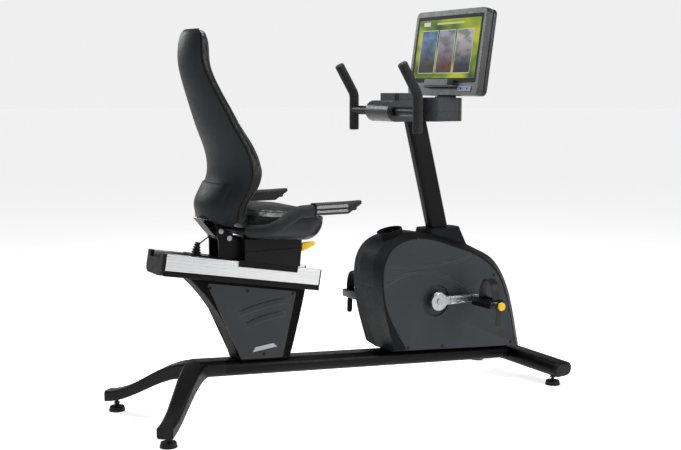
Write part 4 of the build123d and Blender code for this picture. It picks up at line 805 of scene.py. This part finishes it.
def pedal_body(spot, side):
    """A hollow cage: two toothed treads, end blocks, a round barrel on the spindle and two inner ribs."""
    bm = bmesh.new()
    mid_z = (PEDAL_TOP + PEDAL_BOTTOM) / 2
    middle = side * (PEDAL_NEAR + PEDAL_FAR) / 2 - spot.y
    half_length = (PEDAL_FAR - PEDAL_NEAR) / 2
    start_y, stop_y = middle - half_length, middle + half_length

    def bar(ahead, half_x, half_z, start, stop, lift=0.0, power=6.0):
        """A bar that runs sideways from start to stop, with its ends drawn in a little."""
        rings = []
        for y, part in ((start, 0.86), (start + 0.003, 1), (stop - 0.003, 1), (stop, 0.86)):
            centre = spot + Vector((ahead, y, mid_z + lift))
            rings.append(box_ring(centre, X_AXIS, Z_AXIS, half_x * part, half_z * part, power))
        skin(rings, bm)

    for ahead in (-TREAD_OFFSET, TREAD_OFFSET):
        bar(ahead, 0.0062, 0.0148, start_y, stop_y)
        for tooth in range(TEETH):
            tooth_y = start_y + 0.012 + tooth * (stop_y - start_y - 0.024) / (TEETH - 1)
            bar(ahead, 0.0045, 0.0022, tooth_y - 0.003, tooth_y + 0.003, lift=0.0146)
    for start, stop in ((start_y + 0.001, start_y + 0.022), (stop_y - 0.018, stop_y - 0.001)):
        bar(0, 0.030, 0.0142, start, stop)
    bar(0, 0.0125, 0.0130, start_y + 0.004, stop_y - 0.004, power=2.4)
    for ahead in (-0.022, 0.022):
        bar(ahead, 0.004, 0.0120, start_y + 0.01, stop_y - 0.01)
    return bm


def ribbed(step, rib):
    """Half the thickness of a band that is ribbed across."""
    return BAND_HALF_THICK + (rib if step % 2 else 0)


def strap_mesh(spot, side):
    """A ribbed band that arches over the pedal and hangs past its outer end."""
    middle = side * (STRAP_ROOTS[0] + STRAP_ROOTS[1]) / 2 - spot.y
    half = (STRAP_ROOTS[1] - STRAP_ROOTS[0]) / 2
    root_z = PEDAL_TOP - 0.002
    arch = []
    for step in range(33):
        angle = pi * step / 32
        reach = half * (1 + 0.07 * sin(angle) ** 2) * cos(angle)
        height = root_z + (STRAP_TOP - root_z) * sin(angle) ** 0.9
        outward = Vector((0, -side * cos(angle), 0.7 * sin(angle))).normalized()
        place = spot + Vector((0, middle - side * reach, height))
        arch.append(box_ring(place, X_AXIS, outward, STRAP_HALF, ribbed(step, 0.0005), 8))
    tail = []
    outer = side * (PEDAL_FAR + 0.0022) - spot.y
    for step in range(17):
        part = step / 16
        sway = side * 0.0015 * sin(pi * part)
        place = spot + Vector((0.006 - 0.004 * part, outer + sway, -0.012 - TAIL_LENGTH * part))
        narrow = 1 if part < 0.9 else sqrt(max(0.15, 1 - ((part - 0.9) / 0.1) ** 2))
        tail.append(box_ring(place, X_AXIS, Y_AXIS * side, TAIL_HALF * narrow, ribbed(step, 0.0004), 8))
    return skin(tail, skin(arch))


def knob_mesh(spot, side):
    """A round buckle knob with finger notches, on the pedal's outer end."""
    rings = []
    centre = spot + Vector((0.016, side * PEDAL_FAR - spot.y, -0.014))
    for reach, size in ((0.0, 0.0150), (0.001, 0.0162), (0.006, 0.0168), (0.009, 0.0160),
                        (0.0108, 0.0140), (0.0115, 0.009)):
        ring = []
        for step in range(48):
            angle = 2 * pi * step / 48
            radius = size * (1 - 0.035 * (0.5 + 0.5 * cos(KNOB_LOBES * angle)))
            ring.append(centre + Vector((radius * cos(angle), side * reach, radius * sin(angle))))
        rings.append(ring)
    return skin(rings)


pedal_parts = (("body", pedal_body, "gloss"), ("strap", strap_mesh, "strap"), ("knob", knob_mesh, "yellow"))
for word, side in SIDES:
    spot = Vector(joints[f"pedal_{word}_spin"]["pos_m"])
    pedal = f"pedal_{word}"
    for part, build, look in pedal_parts:
        mesh = mesh_from(build(spot, side), part)
        add_piece(f"pedal_{part}_{word}", mesh, look, pedal, (pedal,))

# ------------------------------------------------ cushions
VOXEL = 0.006
SHRINK = 0.004             # how far the free surface is drawn in before it is blown up
CLOTH_FRAMES = 20
WELT_R = 0.0016


def apply(piece, modifier):
    """Bakes one modifier into the mesh."""
    graph = bpy.context.evaluated_depsgraph_get()
    graph.update()
    shaped = bpy.data.meshes.new_from_object(piece.evaluated_get(graph))
    piece.modifiers.remove(modifier)
    old = piece.data
    piece.data = shaped
    bpy.data.meshes.remove(old)


def inflate(piece, held, cap):
    """Blows the piece up as cloth with the held part fixed. No place moves further than cap."""
    start = [vertex.co.copy() for vertex in piece.data.vertices]
    group = piece.vertex_groups.new(name="held")
    group.add([vertex.index for vertex in piece.data.vertices if held(vertex.co)], 1.0, "REPLACE")
    cloth = piece.modifiers.new("cloth", "CLOTH")
    settings = cloth.settings
    settings.quality = 6
    settings.mass = 0.35
    settings.tension_stiffness = 12
    settings.compression_stiffness = 12
    settings.shear_stiffness = 8
    settings.bending_stiffness = 1.5
    settings.use_pressure = True
    settings.uniform_pressure_force = 4
    settings.vertex_group_mass = "held"
    settings.effector_weights.gravity = 0
    cloth.collision_settings.use_collision = False
    cloth.point_cache.frame_start = 1
    cloth.point_cache.frame_end = CLOTH_FRAMES
    for step in range(1, CLOTH_FRAMES + 1):
        bpy.context.scene.frame_set(step)
    shaped = piece.evaluated_get(bpy.context.evaluated_depsgraph_get()).data
    moved = [vertex.co.copy() for vertex in shaped.vertices]
    piece.modifiers.remove(cloth)
    for vertex, first, last in zip(piece.data.vertices, start, moved):
        step = last - first
        if step.length > cap:
            step = step.normalized() * cap
        vertex.co = first + step
    bpy.context.scene.frame_set(1)


def cushion(name, node, cap, held):
    """A CAD cushion remeshed, blown up as cloth with its hidden side held, and smoothed."""
    piece = bpy.data.objects.new(name, nodes[node].data.copy())
    bpy.context.scene.collection.objects.link(piece)
    bpy.context.view_layer.objects.active = piece
    weld = piece.modifiers.new("weld", "WELD")
    weld.merge_threshold = 0.00001
    remesh = piece.modifiers.new("remesh", "REMESH")
    remesh.mode = "VOXEL"
    remesh.voxel_size = VOXEL
    relax = piece.modifiers.new("relax", "SMOOTH")
    relax.iterations = 6
    for modifier in (weld, remesh, relax):
        apply(piece, modifier)
    for vertex in piece.data.vertices:
        if not held(vertex.co):
            vertex.co -= vertex.normal * SHRINK
    inflate(piece, held, cap)
    smooth = piece.modifiers.new("smooth", "SMOOTH")
    smooth.iterations = 4
    apply(piece, smooth)
    finer = piece.modifiers.new("finer", "SUBSURF")
    finer.levels = 1
    finer.render_levels = 1
    apply(piece, finer)
    for face in piece.data.polygons:
        face.use_smooth = True
    paint(piece, "vinyl")
    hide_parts(node)
    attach(piece, "carriage")
    return piece


def slice_of(node, height):
    """Points where a CAD node is cut at a height."""
    bm = bmesh.new()
    bm.from_mesh(nodes[node].data)
    cut = bmesh.ops.bisect_plane(bm, geom=bm.verts[:] + bm.edges[:] + bm.faces[:],
                                 plane_co=(0, 0, height), plane_no=(0, 0, 1))
    points = [item.co.copy() for item in cut["geom_cut"] if isinstance(item, bmesh.types.BMVert)]
    bm.free()
    return points


# at each height of the backrest cushion: its back, its front and its half width
back_low, back_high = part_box("backrest_cushion")
back_rows = []
for step in range(41):
    height = back_low.z + 0.004 + (back_high.z - back_low.z - 0.008) * step / 40
    points = slice_of("backrest_cushion", height)
    if points:
        depths = [point.x for point in points]
        back_rows.append((height, min(depths), max(depths), max(point.y for point in points)))


def back_held(point):
    """The back of the backrest cushion, which lies against the shell."""
    nearest = min(back_rows, key=lambda row: abs(row[0] - point.z))
    return point.x < nearest[1] + 0.010


SEAT_TILT = radians(4)
SEAT_RIM = 0.084           # how high the seat shell's rim is above the seat's origin
seat_origin = Vector((along(-0.668), 0, 0.644))
seat_up = Vector((sin(SEAT_TILT), 0, cos(SEAT_TILT)))
seat_ahead = Vector((cos(SEAT_TILT), 0, -sin(SEAT_TILT)))


def seat_held(point):
    """The part of the seat cushion down inside its shell."""
    return (point - seat_origin).dot(seat_up) < SEAT_RIM - 0.004


backrest_pad = cushion("backrest_pad", "backrest_cushion", 0.012, back_held)
seat_pad = cushion("seat_pad", "seat_cushion", 0.014, seat_held)


def welt(name, pad, rays, closed):
    """A thin welt laid on a cushion where rays, each from one place towards another, meet it."""
    graph = bpy.context.evaluated_depsgraph_get()
    graph.update()
    surface = BVHTree.FromObject(pad, graph)
    points = []
    for start, aim in rays:
        place, normal = surface.ray_cast(start, (aim - start).normalized())[:2]
        if place:
            points.append(place + normal * WELT_R * 0.3)
    if closed:
        points += points[:2]
    add_piece(name, mesh_from(tube(points, WELT_R, 0.0005, 10), name), "piping", "carriage")


for word, side in SIDES:
    rays = []
    for height, back_x, front_x, half in back_rows[2:-1]:
        depth = front_x - back_x
        start = Vector((front_x - 0.26 * depth, side * (half + 0.1), height))
        rays.append((start, Vector((front_x - 0.30 * depth, 0, height))))
    welt(f"backrest_welt_{word}", backrest_pad, rays, False)

WELT_HEIGHT = 0.097
centre = seat_origin + seat_up * WELT_HEIGHT
rays = []
for step in range(72):
    angle = 2 * pi * step / 72
    rays.append((centre + seat_ahead * 0.3 * cos(angle) + Y_AXIS * 0.3 * sin(angle), centre))
welt("seat_welt", seat_pad, rays, True)

# ------------------------------------------------ floor, light and camera
FLOOR_RADIUS = 60
HORIZON_LIGHT, OVERHEAD_LIGHT = 0.865, 0.10


def lay_floor():
    """A pale floor that reaches the horizon and glows a little, so that it stays white."""
    bm = bmesh.new()
    bmesh.ops.create_circle(bm, cap_ends=True, segments=96, radius=FLOOR_RADIUS)
    mesh = bpy.data.meshes.new("floor")
    bm.to_mesh(mesh)
    bm.free()
    floor = bpy.data.objects.new("floor", mesh)
    bpy.context.scene.collection.objects.link(floor)
    look = finish("floor_paint", (0.80, 0.80, 0.80), 0.8, mottle=0.01, mottle_scale=1, grain_scale=60)
    shader = look.node_tree.nodes["Principled BSDF"]
    shader.inputs["Emission Color"].default_value = (1, 1, 1, 1)
    shader.inputs["Emission Strength"].default_value = 0.76
    mesh.materials.append(look)


def studio_world():
    """White round the horizon, dim overhead, so that the object shows dark against a white room."""
    world = bpy.data.worlds.new("studio")
    world.use_nodes = True
    tree = world.node_tree
    direction = tree.nodes.new("ShaderNodeTexCoord")
    split = tree.nodes.new("ShaderNodeSeparateXYZ")
    tree.links.new(direction.outputs["Generated"], split.inputs[0])
    height = tree.nodes.new("ShaderNodeMath")
    height.operation = "ABSOLUTE"
    tree.links.new(split.outputs[2], height.inputs[0])
    strength = remap(tree, height.outputs[0], HORIZON_LIGHT, OVERHEAD_LIGHT, 0.09, 0.28)
    background = tree.nodes["Background"]
    background.inputs["Color"].default_value = (1, 1, 1, 1)
    tree.links.new(strength, background.inputs["Strength"])
    bpy.context.scene.world = world


def area_light(name, place, target, size, watts):
    """A rectangular lamp at a place, turned towards a target."""
    data = bpy.data.lights.new(name, "AREA")
    data.shape = "RECTANGLE"
    data.size, data.size_y = size
    data.energy = watts
    lamp = bpy.data.objects.new(name, data)
    lamp.location = place
    lamp.rotation_euler = (Vector(target) - Vector(place)).to_track_quat("-Z", "Y").to_euler()
    bpy.context.scene.collection.objects.link(lamp)


lay_floor()
studio_world()
area_light("overhead", (0.3, 0.1, 3.2), (0, 0, 0.6), (2.4, 1.0), 120)
area_light("key", (-3.2, -3.0, 2.4), (0.0, 0, 0.8), (0.8, 1.2), 20)
area_light("front", (2.2, -3.0, 2.2), (0.1, 0, 0.7), (0.9, 1.8), 60)
area_light("rear", (-1.5, 3.0, 2.2), (0, 0, 0.9), (2.0, 1.0), 50)

CAMERA_DIP = radians(6.80)         # how far the camera looks down
CAMERA_TURN = radians(29.99)       # and how far it is turned from straight at the right side
camera_data = bpy.data.cameras.new("camera")
camera_data.sensor_width = 36
camera_data.lens = 61.79
camera = bpy.data.objects.new("camera", camera_data)
camera.location = (along(-2.546), -3.776, 1.183)
camera.rotation_euler = (pi / 2 - CAMERA_DIP, 0, -CAMERA_TURN)
bpy.context.scene.collection.objects.link(camera)
bpy.context.scene.camera = camera
bpy.context.scene.view_settings.view_transform = "Standard"
